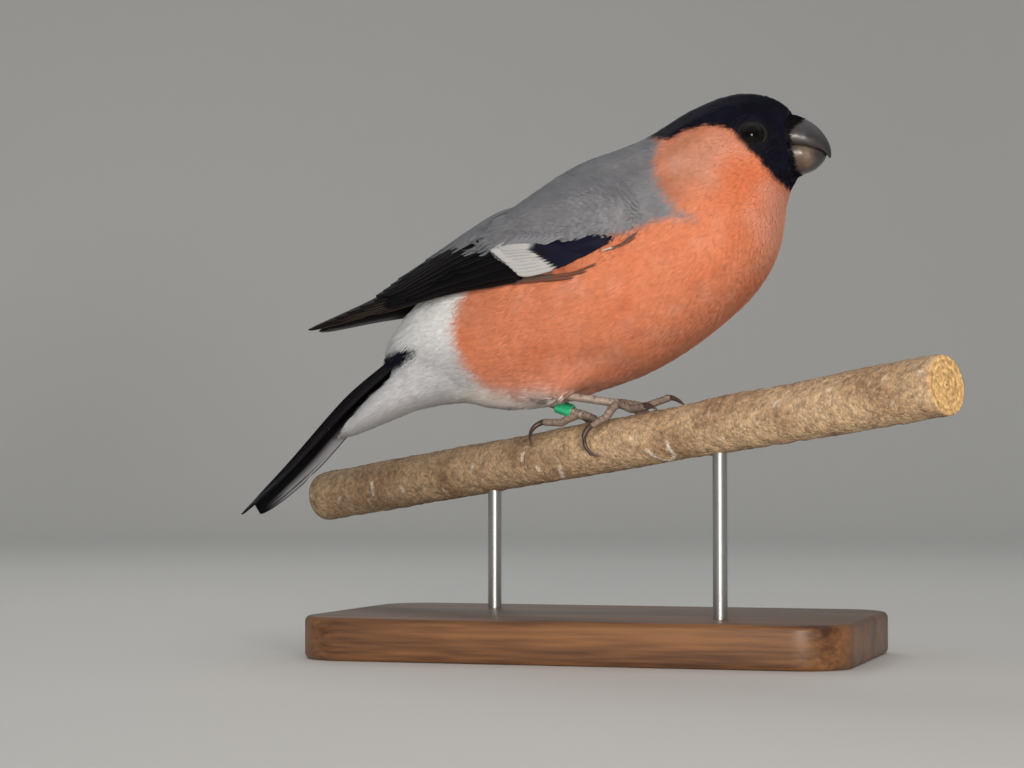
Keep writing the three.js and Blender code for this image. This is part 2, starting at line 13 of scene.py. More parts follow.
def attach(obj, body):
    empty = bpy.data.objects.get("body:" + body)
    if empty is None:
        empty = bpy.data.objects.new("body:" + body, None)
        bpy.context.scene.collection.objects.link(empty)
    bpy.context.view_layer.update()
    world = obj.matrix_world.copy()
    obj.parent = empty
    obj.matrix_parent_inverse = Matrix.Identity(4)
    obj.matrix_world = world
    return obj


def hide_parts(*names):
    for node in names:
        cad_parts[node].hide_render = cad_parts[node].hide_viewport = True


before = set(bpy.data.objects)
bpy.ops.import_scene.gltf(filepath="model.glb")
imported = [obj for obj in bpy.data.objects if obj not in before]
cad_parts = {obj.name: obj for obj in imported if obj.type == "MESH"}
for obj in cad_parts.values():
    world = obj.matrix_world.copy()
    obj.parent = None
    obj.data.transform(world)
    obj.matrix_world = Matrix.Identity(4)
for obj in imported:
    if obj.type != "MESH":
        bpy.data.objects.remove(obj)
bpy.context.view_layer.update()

MM = 0.001
TURN = 2 * math.pi
chance = np.random.RandomState(11)

# The camera sees the middle of the perch under the bird at this pixel of the picture
IMAGE = (1024, 768)
SIGHT = {"turn": 17.0, "tilt": 2.2, "focal_px": 2475.0, "aim": (0, 0, 50), "aim_px": (600, 421), "far": 530}

# Colours as they look, in sRGB. Some hold painted light: the cheek's darker rear patch is painted shade,
# vent is white greyed by painted shade, the warm belly white is painted light, and the blue in gloss is
# partly a painted sheen.
COLOURS = {
    "rose": "c27858", "cheek": "b07a62", "throat": "d69a86", "blush": "c29a8b", "rust": "b9633f",
    "cheek_painted_shade": "965f47", "ash": "696b70", "ash_pale": "808185", "white": "d8dbdb", "vent": "b0b2b5",
    "painted_light_white": "e8ddd4", "cap": "0a090e", "gloss": "111223", "quill": "070608",
    "quill_edge": "1a1719", "primary": "100c0c", "primary_edge": "51453e", "bar": "a3a4a4",
    "silver": "8b8d92", "down": "b3b0ac", "wisp": "6a4638",
}

# The bird's middle line from bill to tail, in the side view [x, z], and how the coat changes along it
SPINE = [
    (47, 106.6), (38, 107.2), (29, 104.5), (19, 97.5), (7, 89), (-8, 80), (-22, 72.5), (-35, 67),
    (-48, 59), (-62, 46),
]
COAT_PLACES = [0.0, 0.08, 0.2, 0.32, 0.45, 0.7, 0.85, 1.0]
COAT_LENGTH = [0.8, 1.4, 2.6, 3.6, 4.6, 5.2, 6.0, 7.0]
COAT_DEPTH = [0.3, 0.4, 0.6, 0.9, 1.2, 1.2, 1.0, 0.8]

# Markings as outlines in the side view [x, z]
CAP_MARK = [
    (13, 109.4), (15.5, 108.7), (17.9, 108.1), (21.1, 110), (25.3, 110.9), (30.9, 110), (34, 106.5),
    (37.2, 103.1), (39.3, 100), (40.9, 98.3), (42.5, 96), (60, 96), (60, 125), (5, 125), (10.5, 112.5),
]
# The narrow finger of this outline forward to (24.6, 90.6), between cheek and breast, is painted shade where
# the cheek bulges over the breast
ASH_MARK = [
    (13.2, 111), (15.6, 107.3), (15.3, 103.8), (15.9, 100.9), (17.1, 97.9), (18.8, 95.5), (21.5, 92.7),
    (24.6, 90.6), (20.4, 91.3), (15.9, 90), (11.9, 88.4), (7.3, 87), (3, 85), (-1, 84), (-10, 82),
    (-22, 80.5), (-36, 79), (-38.5, 82), (-44, 92), (-20, 112), (5, 122),
]
PALE_MARK = [
    (-27, 78), (-28.2, 73), (-28.7, 69.5), (-28.5, 66.5), (-27.5, 63.6), (-26, 60.8), (-23.4, 57.9),
    (-20, 56.4), (-13, 55.7), (-5, 55.3), (1.5, 54.9), (4, 53.4), (4, 40), (-80, 30), (-75, 80),
    (-38, 92),
]
TAIL_MARK = [
    (-37.8, 65), (-41.7, 66), (-45.6, 63.4), (-52, 59.5), (-58, 57), (-58, 52), (-50.6, 57.2),
    (-46.5, 59.6), (-43.2, 61.9), (-40, 63.4),
]
# Soft patches within the rose of the cheek: colour, middle [x, z], size and strength
CHEEK_TONES = [
    ("cheek", (23, 103), 8, 0.9),
    # The darker patch low at the cheek's rear is painted shade under the cheek's rim
    ("cheek_painted_shade", (18.6, 97), 4.5, 0.6),
    ("rust", (33.2, 98.2), 6.2, 0.6),
    ("blush", (20.6, 102.4), 2.6, 0.35),
    ("blush", (26.5, 103.5), 3.6, 0.22),
]


def linear(colour):
    """An sRGB colour such as dc7650 as linear red, green and blue."""
    parts = np.array([int(colour[i:i + 2], 16) / 255 for i in (0, 2, 4)])
    return np.where(parts <= 0.04045, parts / 12.92, ((parts + 0.055) / 1.055) ** 2.4)


PAINT = {name: linear(colour) for name, colour in COLOURS.items()}


def ease(low, high, x):
    """0 below low and 1 above high, with a smooth way between."""
    share = np.clip((np.asarray(x, float) - low) / (high - low), 0, 1)
    return share * share * (3 - 2 * share)


def unit(vectors):
    return vectors / np.maximum(np.linalg.norm(vectors, axis=-1, keepdims=True), 1e-12)


def flat_to(vectors, normals):
    """The part of each vector that lies along the surface."""
    return vectors - normals * (vectors * normals).sum(-1, keepdims=True)


def mix(one, other, share):
    share = np.asarray(share, float)[..., None]
    return one * (1 - share) + other * share


def cloud(points, size, seed=0.0):
    """Smooth noise from -1 to 1 at each point, with blotches of about that size in mm."""
    return np.array([noise.noise(Vector(p) / size + Vector((seed, seed, seed))) for p in points])


def curve(points):
    """A smooth curve through the points. Places run from 0 to 1 and count the points evenly."""
    points = np.array(points, float)
    ends = np.vstack([2 * points[0] - points[1], points, 2 * points[-1] - points[-2]])

    def root(one, other):
        return np.maximum(np.sqrt(np.linalg.norm(other - one, axis=-1, keepdims=True)), 1e-6)

    def at(place):
        place = np.clip(np.asarray(place, float), 0, 1) * (len(points) - 1)
        i = np.minimum(place.astype(int), len(points) - 2)
        w = (place - i)[..., None]
        p0, p1, p2, p3 = (ends[i + k] for k in range(4))
        a, b, c = root(p0, p1), root(p1, p2), root(p2, p3)
        leave = ((p1 - p0) / a - (p2 - p0) / (a + b) + (p2 - p1) / b) * b
        reach = ((p2 - p1) / b - (p3 - p1) / (b + c) + (p3 - p2) / c) * b
        square = 3 * (p2 - p1) - 2 * leave - reach
        cube = 2 * (p1 - p2) + leave + reach
        return p1 + leave * w + square * w**2 + cube * w**3

    return at


def tangent(line, place, step=1e-3):
    return unit(line(np.minimum(place + step, 1)) - line(np.maximum(place - step, 0)))


# Pieces
def mesh_of(name, bm):
    mesh = bpy.data.meshes.new(name)
    bm.to_mesh(mesh)
    bm.free()
    return mesh


def in_scene(name, data):
    obj = bpy.data.objects.new(name, data)
    bpy.context.scene.collection.objects.link(obj)
    return obj


def finish_piece(name, mesh, finish, replaced=()):
    """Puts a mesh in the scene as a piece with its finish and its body."""
    obj = in_scene(name, mesh)
    mesh.materials.append(finish)
    mesh.polygons.foreach_set("use_smooth", [True] * len(mesh.polygons))
    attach(obj, "root")
    if replaced:
        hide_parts(*replaced)


def piece(name, bm, finish, replaced=()):
    bmesh.ops.recalc_face_normals(bm, faces=bm.faces)
    finish_piece(name, mesh_of(name, bm), finish, replaced)


def new_work():
    """An empty bmesh with the two layers that the materials read."""
    bm = bmesh.new()
    bm.loops.layers.uv.new("lay")
    bm.verts.layers.float_color.new("tint")
    return bm


def new_grid(bm, rows, columns):
    """A flat grid in a bmesh: its points, and the share along and across at which each one lies."""
    verts = bmesh.ops.create_grid(bm, x_segments=rows, y_segments=columns, size=0.5)["verts"]
    return verts, np.array([v.co[:2] for v in verts]) + 0.5


def set_out(bm, verts, places, tones, spots):
    """Gives each point its place in mm, its colour and its spot on the piece's own map."""
    tint = bm.verts.layers.float_color["tint"]
    lay = bm.loops.layers.uv["lay"]
    for vert, place, tone, spot in zip(verts, places, tones, spots):
        vert.co = place * MM
        vert[tint] = (*tone, 1)
        for loop in vert.link_loops:
            loop[lay].uv = spot


def wrap(name, finish, replaced, rows, columns, place, paint=None):
    """A piece made of a grid rolled up into a closed skin. place(t, angle) says where its points go, in mm,
    and paint(t, angle) their colour. Seams and poles are merged."""
    bm = new_work()
    verts, grid = new_grid(bm, rows, columns)
    t, angle = grid[:, 0], grid[:, 1] * TURN
    set_out(bm, verts, place(t, angle), paint(t, angle) if paint else np.ones((len(t), 3)), grid)
    bmesh.ops.remove_doubles(bm, verts=verts, dist=1e-7)
    piece(name, bm, finish, replaced)


def tube(line, across, deep=None, up=(0, 0, 1)):
    """place for wrap: a limb along a curve. across and deep are its half sizes at t and angle."""
    deep = deep or across

    def place(t, angle):
        way = tangent(line, t)
        lift = unit(flat_to(np.array(up, float), way))
        side = np.cross(way, lift)
        round_end = np.sqrt(np.clip(1 - (2 * t - 1) ** 40, 0, 1))
        wide = (across(t, angle) * round_end * np.cos(angle))[:, None]
        high = (deep(t, angle) * round_end * np.sin(angle))[:, None]
        return line(t) + side * wide + lift * high

    return place


# Materials
def add(tree, kind, inputs=None, out=0, **settings):
    """A shader node's output socket. An input is a value or another node's socket."""
    made = tree.nodes.new("ShaderNode" + kind)
    for name, value in settings.items():
        setattr(made, name, value)
    for name, value in (inputs or {}).items():
        if isinstance(value, bpy.types.NodeSocket):
            tree.links.new(value, made.inputs[name])
        else:
            made.inputs[name].default_value = value
    return made.outputs[out]


def material(name, **constants):
    """A material with the Principled values that are the same all over it, and its tree."""
    made = bpy.data.materials.new(name)
    made.use_nodes = True
    shader = made.node_tree.nodes["Principled BSDF"]
    for socket, value in constants.items():
        shader.inputs[socket.replace("_", " ")].default_value = value
    return made, made.node_tree


def feed(tree, **sockets):
    """Links what changes over the surface to the shader's inputs."""
    shader = tree.nodes["Principled BSDF"]
    for name, socket in sockets.items():
        tree.links.new(socket, shader.inputs[name.replace("_", " ")])


def toned(tree, pattern, low, high, start=0.3, end=0.7):
    """The colour of the piece's own points, made darker and lighter by a pattern."""
    tint = add(tree, "Attribute", attribute_name="tint")
    span = {"From Min": start, "From Max": end, "To Min": low, "To Max": high}
    level = add(tree, "MapRange", {"Value": pattern, **span})
    return add(tree, "VectorMath", {0: tint, "Scale": level}, operation="SCALE")


def plumage(name, roughness, sheen, sheen_tint, specular, patch_mm, low, high):
    """Body feathers: the marking of each tuft, a little uneven, as soft barbs scatter light."""
    made, tree = material(name, Roughness=roughness, Sheen_Weight=sheen, Sheen_Roughness=0.45,
                          Sheen_Tint=(*linear(sheen_tint), 1), Specular_IOR_Level=specular)
    place = add(tree, "TexCoord", out="Object")
    patches = add(tree, "TexNoise", {"Vector": place, "Scale": 1 / (patch_mm * MM), "Detail": 3.0})
    feed(tree, Base_Color=toned(tree, patches, low, high))
    return made


BARB_PITCH = 0.45


def vane_finish(name, roughness, sheen_tint, specular):
    """Flight feathers: barbs run slantwise from the shaft. They are drawn coarse, so that they show."""
    made, tree = material(name, Roughness=roughness, Sheen_Weight=0.01, Sheen_Roughness=0.4,
                          Sheen_Tint=(*linear(sheen_tint), 1), Specular_IOR_Level=specular)
    lay = add(tree, "SeparateXYZ", {0: add(tree, "UVMap", uv_map="lay")}).node.outputs
    away = add(tree, "Math", {0: lay["Y"]}, operation="ABSOLUTE")
    slant = add(tree, "Math", {0: away, 1: -1.1, 2: lay["X"]}, operation="MULTIPLY_ADD")
    barbs = add(tree, "Math", {0: slant, 1: TURN / BARB_PITCH}, operation="MULTIPLY")
    ridge = add(tree, "Math", {0: barbs}, operation="SINE")
    bump = add(tree, "Bump", {"Height": ridge, "Strength": 0.35, "Distance": 0.05 * MM})
    feed(tree, Base_Color=toned(tree, ridge, 0.82, 1.12, -1, 1), Normal=bump)
    return made


# Soft pink-orange contour feathers: matt, with a faint bloom at the rim
rose_feathers = plumage("rose_contour_feathers", 0.82, 0.25, "f0b59c", 0.25, 3.5, 0.93, 1.07)
# Dense grey contour feathers: matt and even
ash_feathers = plumage("ash_contour_feathers", 0.8, 0.12, "b9bdc6", 0.2, 4.0, 0.93, 1.08)
# Loose white rump and vent feathers: matt, with a soft bloom at the edges
white_feathers = plumage("white_rump_feathers", 0.85, 0.3, "ffffff", 0.25, 4.0, 0.95, 1.03)
# Black cap feathers: short, tight and glossy, with a blue shine
cap_feathers = plumage("glossy_black_cap_feathers", 0.55, 0.01, "6a78b4", 0.1, 2.5, 0.85, 1.2)
# Black flight feathers: flat closed vanes with a blue shine
flight_vanes = vane_finish("glossy_flight_feather_vanes", 0.45, "6f7cc0", 0.1)
# Worn brownish outer flight feathers: duller vanes
dull_vanes = vane_finish("dull_feather_vanes", 0.6, "b0a8a4", 0.1)


# The folded wing, on the same two edges as its solids
WING_LOWER = [
    (14.8, 18.6, 90.4), (8.6, 21.4, 85.4), (1, 22, 81), (-9, 21, 79), (-20, 18.2, 77.6), (-31, 13.8, 76),
    (-43, 9.2, 73.6), (-55.6, 5.6, 72), (-65.8, 3.6, 70.4),
]
WING_UPPER = [
    (13.6, 17.4, 94.6), (6.8, 14.4, 99.4), (-4, 10.4, 100.6), (-14, 7.6, 97.2), (-24, 5.8, 92),
    (-34, 4.4, 86.4), (-44.5, 3.4, 80.4), (-55, 2.7, 75.6), (-65.8, 2.7, 71.3),
]
WING_BULGE = [0.6, 3.4, 4.4, 4.2, 3.2, 2.0, 1.1, 0.6, 0.2]
SIDES = {"right": -1, "left": 1}


def wing(side):
    """The surface of one folded wing: at(s, v, lift), with s from the wrist to the tip and v from the lower
    edge to the upper one, and out(s, v), which way it faces."""
    lower = curve([(x, side * y, z) for x, y, z in WING_LOWER])
    upper = curve([(x, side * y, z) for x, y, z in WING_UPPER])
    bulge = curve([(b, i, 0) for i, b in enumerate(WING_BULGE)])

    def at(s, v, lift=0.0):
        s, v = np.clip(s, 0, 1), np.asarray(v, float)
        chord = upper(s) - lower(s)
        away = -side * unit(np.cross(chord, tangent(lower, s)))
        stand = 4 * v * (1 - v) * bulge(s)[..., 0] + lift
        return lower(s) + chord * v[..., None] + away * stand[..., None]

    def out(s, v):
        step = 0.02
        along = at(s + step, v) - at(s - step, v)
        over = at(s, v + step) - at(s, v - step)
        return -side * unit(np.cross(over, along))

    return at, out


# The skin: one closed body out of the nodes of flesh
FLESH = ["head", "neck", "trunk", "rump", "undertail_coverts", "thigh_right", "thigh_left"]
FLESH += ["wing_right_coverts", "wing_left_coverts"]
JOIN = 0.28  # each node grows by this much, so that the cuts between them close
VOXEL = 0.6
EYE = {"x": 34.9, "y": 8.4, "z": 108.5, "radius": 3.2}
MOUTH = {"at": (40.6, 0, 107.2), "size": (2.6, 5.3, 6.1)}


# How often neighbours are evened out: over the rump and the breast, and in the coat's depth and lie
EVEN_RUMP = 16
EVEN_BREAST = 45
EVEN_DEPTH = 6
EVEN_LIE = 24
SKIN_SHADE = 0.85
# The line [x, z] under the folded wing below which the breast is rounded
UNDER_WING_X = [-31, -9, 1, 14.8, 24]
UNDER_WING_Z = [76, 79, 81, 90.4, 98]


def eye_centre(side):
    return np.array([EYE["x"], side * EYE["y"], EYE["z"]])


def eye_axis(side):
    return unit(np.array([0.2, side, 0.14]))


def flesh_body():
    """The flesh nodes' copies, grown a little, with eye sockets and mouth filled, as one closed mesh."""
    whole = bmesh.new()
    for name in FLESH:
        part = bmesh.new()
        part.from_mesh(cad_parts[name].data)
        bmesh.ops.remove_doubles(part, verts=part.verts, dist=1e-6)
        part.normal_update()
        for vert in part.verts:
            vert.co += vert.normal * JOIN * MM
        copy = mesh_of("part", part)
        whole.from_mesh(copy)
        bpy.data.meshes.remove(copy)
    fillers = [(eye_centre(side), (EYE["radius"] - 0.25,) * 3) for side in SIDES.values()]
    fillers.append((MOUTH["at"], MOUTH["size"]))
    for centre, size in fillers:
        matrix = Matrix.Translation(Vector(centre) * MM) @ Matrix.Diagonal((*(s * MM for s in size), 1))
        bmesh.ops.create_icosphere(whole, subdivisions=3, radius=1, matrix=matrix)
    mesh = mesh_of("skin", whole)
    body = in_scene("skin", mesh)
    remesh = body.modifiers.new("voxels", "REMESH")
    remesh.mode = "VOXEL"
    remesh.voxel_size = VOXEL * MM
    settle = body.modifiers.new("settle", "SMOOTH")
    settle.factor = 0.5
    settle.iterations = 4
    bpy.context.view_layer.update()
    done = bpy.data.meshes.new_from_object(body.evaluated_get(bpy.context.evaluated_depsgraph_get()))
    bpy.data.objects.remove(body)
    bpy.data.meshes.remove(mesh)
    return done


def fetch(items, name, width, kind=np.float32):
    """A vector of every item of a mesh, as the rows of one array."""
    flat = np.empty(len(items) * width, kind)
    items.foreach_get(name, flat)
    return flat.reshape(-1, width)


def read_mesh(mesh):
    """Points in mm, normals and edges of a mesh."""
    points = fetch(mesh.vertices, "co", 3).astype(float) / MM
    normals = fetch(mesh.vertex_normals, "vector", 3).astype(float)
    return points, normals, fetch(mesh.edges, "vertices", 2, np.int32)


def even_out(values, edges, rounds):
    """Each point's value becomes the mean of its own and its neighbours', again and again."""
    one, other = edges.T
    count = np.bincount(one, minlength=len(values)) + np.bincount(other, minlength=len(values)) + 1
    for _ in range(rounds):
        total = values.copy()
        for axis in range(values.shape[1]):
            total[:, axis] += np.bincount(one, values[other, axis], len(values))
            total[:, axis] += np.bincount(other, values[one, axis], len(values))
        values = total / count[:, None]
    return values


spine = curve([(x, 0, z) for x, z in SPINE])
SPINE_STEPS = 240


def spine_places(points):
    """Each point's place along the spine, and its angle round it, which is 0 on the back."""
    steps = np.linspace(0, 1, SPINE_STEPS)
    line = spine(steps)
    place = np.empty(len(points))
    for start in range(0, len(points), 4000):
        part = points[start:start + 4000]
        flat = ((part[:, None, ::2] - line[None, :, ::2]) ** 2).sum(-1)
        place[start:start + 4000] = steps[flat.argmin(1)]
    way = tangent(spine, place)
    over = np.cross(way, np.array([0.0, 1.0, 0.0]))
    away = points - spine(place)
    return place, np.arctan2(away[:, 1], (away * over).sum(1))


def inside_mark(outline, points):
    """How far each point lies inside an outline of the side view, in mm; below 0 outside it."""
    spots = points[:, ::2]
    start = np.array(outline, float)
    run = np.roll(start, -1, axis=0) - start
    near = np.full(len(spots), np.inf)
    inside = np.zeros(len(spots), bool)
    for (x, z), (dx, dz) in zip(start, run):
        share = np.clip(((spots[:, 0] - x) * dx + (spots[:, 1] - z) * dz) / (dx * dx + dz * dz), 0, 1)
        near = np.minimum(near, np.hypot(spots[:, 0] - x - share * dx, spots[:, 1] - z - share * dz))
        crosses = (spots[:, 1] >= z) != (spots[:, 1] >= z + dz)
        inside ^= crosses & (spots[:, 0] < x + dx * (spots[:, 1] - z) / (dz if dz else 1e-9))
    return np.where(inside, near, -near)


ROSE, ASH, WHITE, BLACK = range(4)


def markings(points, winged):
    """The colour of the plumage at each point, and which of the four kinds of feather grows there. The skin
    of a folded wing is ash all over."""
    ragged = 0.55 * cloud(points, 2.2, 3.0) + 0.35 * cloud(points, 0.9, 7.0)
    throat = ease(34.5, 40, points[:, 0]) * ease(101, 95, points[:, 2])
    colour = mix(PAINT["rose"], PAINT["rust"], 0.35 * ease(0.0, 0.6, cloud(points, 7.0, 51.0)))
    for tone, (x, z), size, strength in CHEEK_TONES:
        away = np.hypot(points[:, 0] - x, points[:, 2] - z) / size
        colour = mix(colour, PAINT[tone], strength * ease(1.5, 0.2, away))
    colour = mix(colour, PAINT["throat"], 0.75 * throat)
    colour = mix(colour, PAINT["blush"], 0.22 * ease(0.0, 0.6, cloud(points, 5.0, 21.0)))
    # Low on the belly the rose is made paler towards the throat's colour: painted light on the underside,
    # which lies in shade
    colour = mix(colour, PAINT["throat"], 0.5 * ease(62, 55, points[:, 2]))
    kind = np.full(len(points), ROSE)
    pale = inside_mark(PALE_MARK, points) + 0.8 * ragged
    # The white is greyed from z 72 down to 62 as painted shade, and made brighter and warmer low on the
    # belly as painted light
    white = mix(PAINT["white"], PAINT["vent"], ease(72, 62, points[:, 2]))
    white = mix(white, PAINT["painted_light_white"], ease(59, 55, points[:, 2]) * ease(-34, -26, points[:, 0]))
    colour = mix(colour, white, ease(-2.2, 1.6, pale))
    kind[pale > 0] = WHITE
    ash = np.maximum(inside_mark(ASH_MARK, points) + ragged, 9.0 * winged - 4.5)
    grey = mix(PAINT["ash"], PAINT["ash_pale"], 0.5 + 0.5 * cloud(points, 6.0, 31.0))
    grey = grey * (1 - 0.22 * ease(-2, -26, points[:, 0]))[:, None]
    colour = mix(colour, grey, ease(-1.4, 1.4, ash))
    kind[ash > 0] = ASH
    for mark, soft, torn in ((TAIL_MARK, 0.6, 0.2), (CAP_MARK, 0.6, 0.6)):
        depth = inside_mark(mark, points) + torn * ragged
        # Black, mixed in patches with gloss: a blue-black that is partly the feathers' own colour and partly
        # a painted blue sheen
        black = mix(PAINT["cap"], PAINT["gloss"], 0.5 + 0.5 * cloud(points, 4.0, 41.0))
        colour = mix(colour, black, ease(-soft, soft, depth))
        kind[depth > 0.2] = BLACK
    return colour, kind


def set_colours(mesh, colours):
    layer = mesh.attributes.new("tint", "FLOAT_COLOR", "POINT")
    full = np.ones((len(colours), 4), np.float32)
    full[:, :3] = colours
    layer.data.foreach_set("color", full.ravel())


def nearest_of(spots):
    tree = KDTree(len(spots))
    for i, spot in enumerate(spots):
        tree.insert(spot, i)
    tree.balance()
    return tree


def wing_places(points):
    """The s and v on a folded wing of each point near one, or -1, and how the wing runs there."""
    s, v = np.full((2, len(points)), -1.0)
    way = np.zeros_like(points)
    for side in SIDES.values():
        at, _ = wing(side)
        grid_s, grid_v = np.meshgrid(np.linspace(0, 0.56, 90), np.linspace(-0.08, 1.08, 60), indexing="ij")
        grid_s, grid_v = grid_s.ravel(), grid_v.ravel()
        spots = at(grid_s, grid_v, 1.2)
        ways = unit(at(grid_s + 0.02, grid_v, 1.2) - at(grid_s - 0.02, grid_v, 1.2))
        tree = nearest_of(spots)
        for i in np.flatnonzero(points[:, 1] * side > 3):
            _, nearest, far = tree.find(points[i])
            if far < 1.9:
                s[i], v[i], way[i] = grid_s[nearest], grid_v[nearest], ways[nearest]
    return s, v, way


skin_mesh = flesh_body()
points, normals, edges = read_mesh(skin_mesh)
calm = ease(-24, -31, points[:, 0]) * ease(-56, -50, points[:, 0])
points = mix(points, even_out(points, edges, EVEN_RUMP), calm)
# The flat faces of the CAD's breast and belly are rounded, and what that takes off the shape is given back
under_wing = np.interp(points[:, 0], UNDER_WING_X, UNDER_WING_Z) - points[:, 2]
breast = ease(0, 5, under_wing) * ease(-33, -26, points[:, 0])
rounded = even_out(points, edges, EVEN_BREAST)
points = mix(points, rounded + even_out(points - rounded, edges, EVEN_BREAST), breast)
place, _ = spine_places(points)
depth = np.interp(place, COAT_PLACES, COAT_DEPTH)
from_eye = np.minimum(*[np.linalg.norm(np.cross(points - eye_centre(side), eye_axis(side)), axis=1)
                        + 50 * (points[:, 1] * side < 0) for side in SIDES.values()])
depth = depth * (0.35 + 0.65 * ease(3.0, 6.0, from_eye))
depth = even_out(depth[:, None], edges, EVEN_DEPTH)[:, 0] + JOIN
points = points - normals * depth[:, None]
skin_mesh.vertices.foreach_set("co", (points * MM).astype(np.float32).ravel())
skin_mesh.update()
points, normals, edges = read_mesh(skin_mesh)
place, angle = spine_places(points)
wing_s, wing_v, wing_way = wing_places(points)
on_wing = wing_s >= 0
ash_wing = on_wing & ~((wing_v < 0.1) & (wing_s < 0.3))
skin_colour, _ = markings(points, ash_wing)
set_colours(skin_mesh, skin_colour * SKIN_SHADE)

# Skin under the feathers: it wears the markings, a little darker
skin_finish = plumage("feathered_skin", 0.8, 0.1, "d0c8c4", 0.2, 1.2, 0.85, 1.05)
finish_piece("skin", skin_mesh, skin_finish, FLESH)

# How the feathers lie: back along the body, along the wing on the wing, and round the eye
lie = flat_to(tangent(spine, place), normals)
lie[on_wing] = flat_to(wing_way[on_wing], normals[on_wing])
lie = even_out(unit(lie), edges, EVEN_LIE)
lie = unit(flat_to(lie, normals))
for side in SIDES.values():
    from_axis = flat_to(points - eye_centre(side), eye_axis(side))
    near = (from_eye < 7.5) & (points[:, 1] * side > 0)
    outward = unit(flat_to(from_axis, normals))
    against = np.clip(-(outward * lie).sum(1), 0, 1) * ease(7.5, 3.2, from_eye) * near
    lie = unit(lie + outward * against[:, None])

skin_faces = [tuple(f.vertices) for f in skin_mesh.polygons]
skin_tree = BVHTree.FromPolygons([Vector(p) for p in points], skin_faces)

# Flight feathers: flat vanes with a raised shaft, barbs on either side and a few splits near the tip
VANE_ROWS = 26
VANE_COLUMNS = np.array([-1, -0.62, -0.12, 0, 0.12, 0.62, 1])
VANE_THICKNESS = 0.14
SHAFT_RISE = 0.1


def vane(bm, shaft, facing, half_width, handed, paint, under, lean=0.3, camber=0.35, tilt=0.0, blunt=7):
    """One feather. shaft(k) is its middle line in mm, and facing(k) says which way its upper side faces.
    Across it u runs from -1 to 1, the outer web, which handed puts on the proper side. paint(k, u) and
    under(k, u) colour it. tilt lifts the outer web. blunt is 7 for a round tip, 2 for a point."""
    sheet = new_work()
    verts, grid = new_grid(sheet, VANE_ROWS, 6)
    k = 1 - (1 - grid[:, 0]) ** 1.7
    u = VANE_COLUMNS[np.round(grid[:, 1] * 6).astype(int)]
    way = tangent(shaft, k)
    up = unit(flat_to(facing(k), way))
    wide = half_width * np.minimum(1, 0.45 + 1.6 * k) * np.sqrt(np.clip(1 - k**blunt, 0, 1))
    for _ in range(3):
        split, which = chance.uniform(0.45, 0.97), chance.choice([-1, 1])
        wide = wide * (1 - chance.uniform(0.08, 0.3) * (np.abs(k - split) < 0.02) * (u == which))
    across = wide * (u + lean * (1 - u * u))
    rise = camber * (1 - u * u) + SHAFT_RISE * (u == 0) * (1 - k) + tilt * wide * u
    at = shaft(k) + np.cross(up, way) * (handed * across)[:, None] + up * rise[:, None]
    length = np.linalg.norm(np.diff(shaft(np.linspace(0, 1, 20)), axis=0), axis=1).sum()
    set_out(sheet, verts, at, paint(k, u), np.stack([k * length, u * half_width], 1))
    sheet.normal_update()
    if sum(f.normal.dot(Vector(up[0])) for f in sheet.faces) < 0:
        bmesh.ops.reverse_faces(sheet, faces=sheet.faces)
    count = len(sheet.verts)
    bmesh.ops.solidify(sheet, geom=sheet.faces, thickness=VANE_THICKNESS * MM)
    tint = sheet.verts.layers.float_color["tint"]
    for vert, tone in zip(list(sheet.verts)[count:], under(k, u)):
        vert[tint] = (*tone, 1)
    bmesh.ops.remove_doubles(sheet, verts=sheet.verts, dist=1e-7)
    bmesh.ops.recalc_face_normals(sheet, faces=sheet.faces)
    made = mesh_of("vane", sheet)
    bm.from_mesh(made)
    bpy.data.meshes.remove(made)


def skin_rise(side, s, v):
    """How far the skin stands over the wing's own surface at [s, v], in mm."""
    at, out = wing(side)
    facing = out(s, v)
    start = at(s, v) + facing * 8
    hits = [skin_tree.ray_cast(Vector(p), Vector(-n), 12)[3] for p, n in zip(start, facing)]
    return np.array([-4.0 if hit is None else 8 - hit for hit in hits])


def wing_vane(bm, side, start, end, half_width, lift, paint, under, clear=None, sunk=0.8, **shape):
    """A feather of the folded wing from one place [s, v] to another. With clear it lies on the skin as well.
    Its root is sunk that much below its blade."""
    at, out = wing(side)

    def spot(k):
        return start[0] + (end[0] - start[0]) * k, start[1] + (end[1] - start[1]) * ease(0, 1, k)

    knots = np.linspace(0, 1, 9)
    s, v = spot(knots)
    sink = sunk * ease(0.35, 0, knots)
    rise = lift - sink
    if clear is not None:
        over = skin_rise(side, s, v)
        rise = np.maximum(lift, over + clear) - sink
        rise[0] = min(rise[0], over[0] - 0.4)
    vane(bm, curve(at(s, v, rise)), lambda k: out(*spot(k)), half_width, -side, paint, under, **shape)


def even(base, edge, edge_from=0.8, strength=0.7):
    """A vane of one colour with a paler outer edge."""
    return lambda k, u: mix(PAINT[base], PAINT[edge], strength * ease(edge_from, 1, u))


def tipped(base, tip, start):
    """A vane whose end past start is of another colour, in a border that follows the feather's tip."""
    def paint(k, u):
        body = mix(PAINT[base], PAINT["quill_edge"], ease(0.6, 1, u))
        return mix(body, PAINT[tip], ease(start - 0.03, start + 0.03, k - 0.04 * u * u))
    return paint


def row(count):
    """The feathers of a row: each one's share of the way along it, and its number."""
    return [(i / (count - 1), i) for i in range(count)]


# Thin brown feathers that stick out along the wing's lower edge: start, end, half width and colour
LOOSE_EDGE = [
    ((0.27, 0.0), (0.42, 0.035), 0.7, "primary_edge"),
    ((0.24, -0.02), (0.43, 0.02), 0.5, "wisp"),
    ((0.19, -0.03), (0.36, 0.02), 0.5, "wisp"),
    ((0.16, -0.03), (0.3, 0.0), 0.3, "wisp"),
    ((0.01, -0.16), (0.15, 0.01), 0.3, "primary_edge"),
    ((0.02, -0.24), (0.13, -0.02), 0.25, "wisp"),
    ((0.11, -0.01), (0.17, 0.03), 0.25, "down"),
]


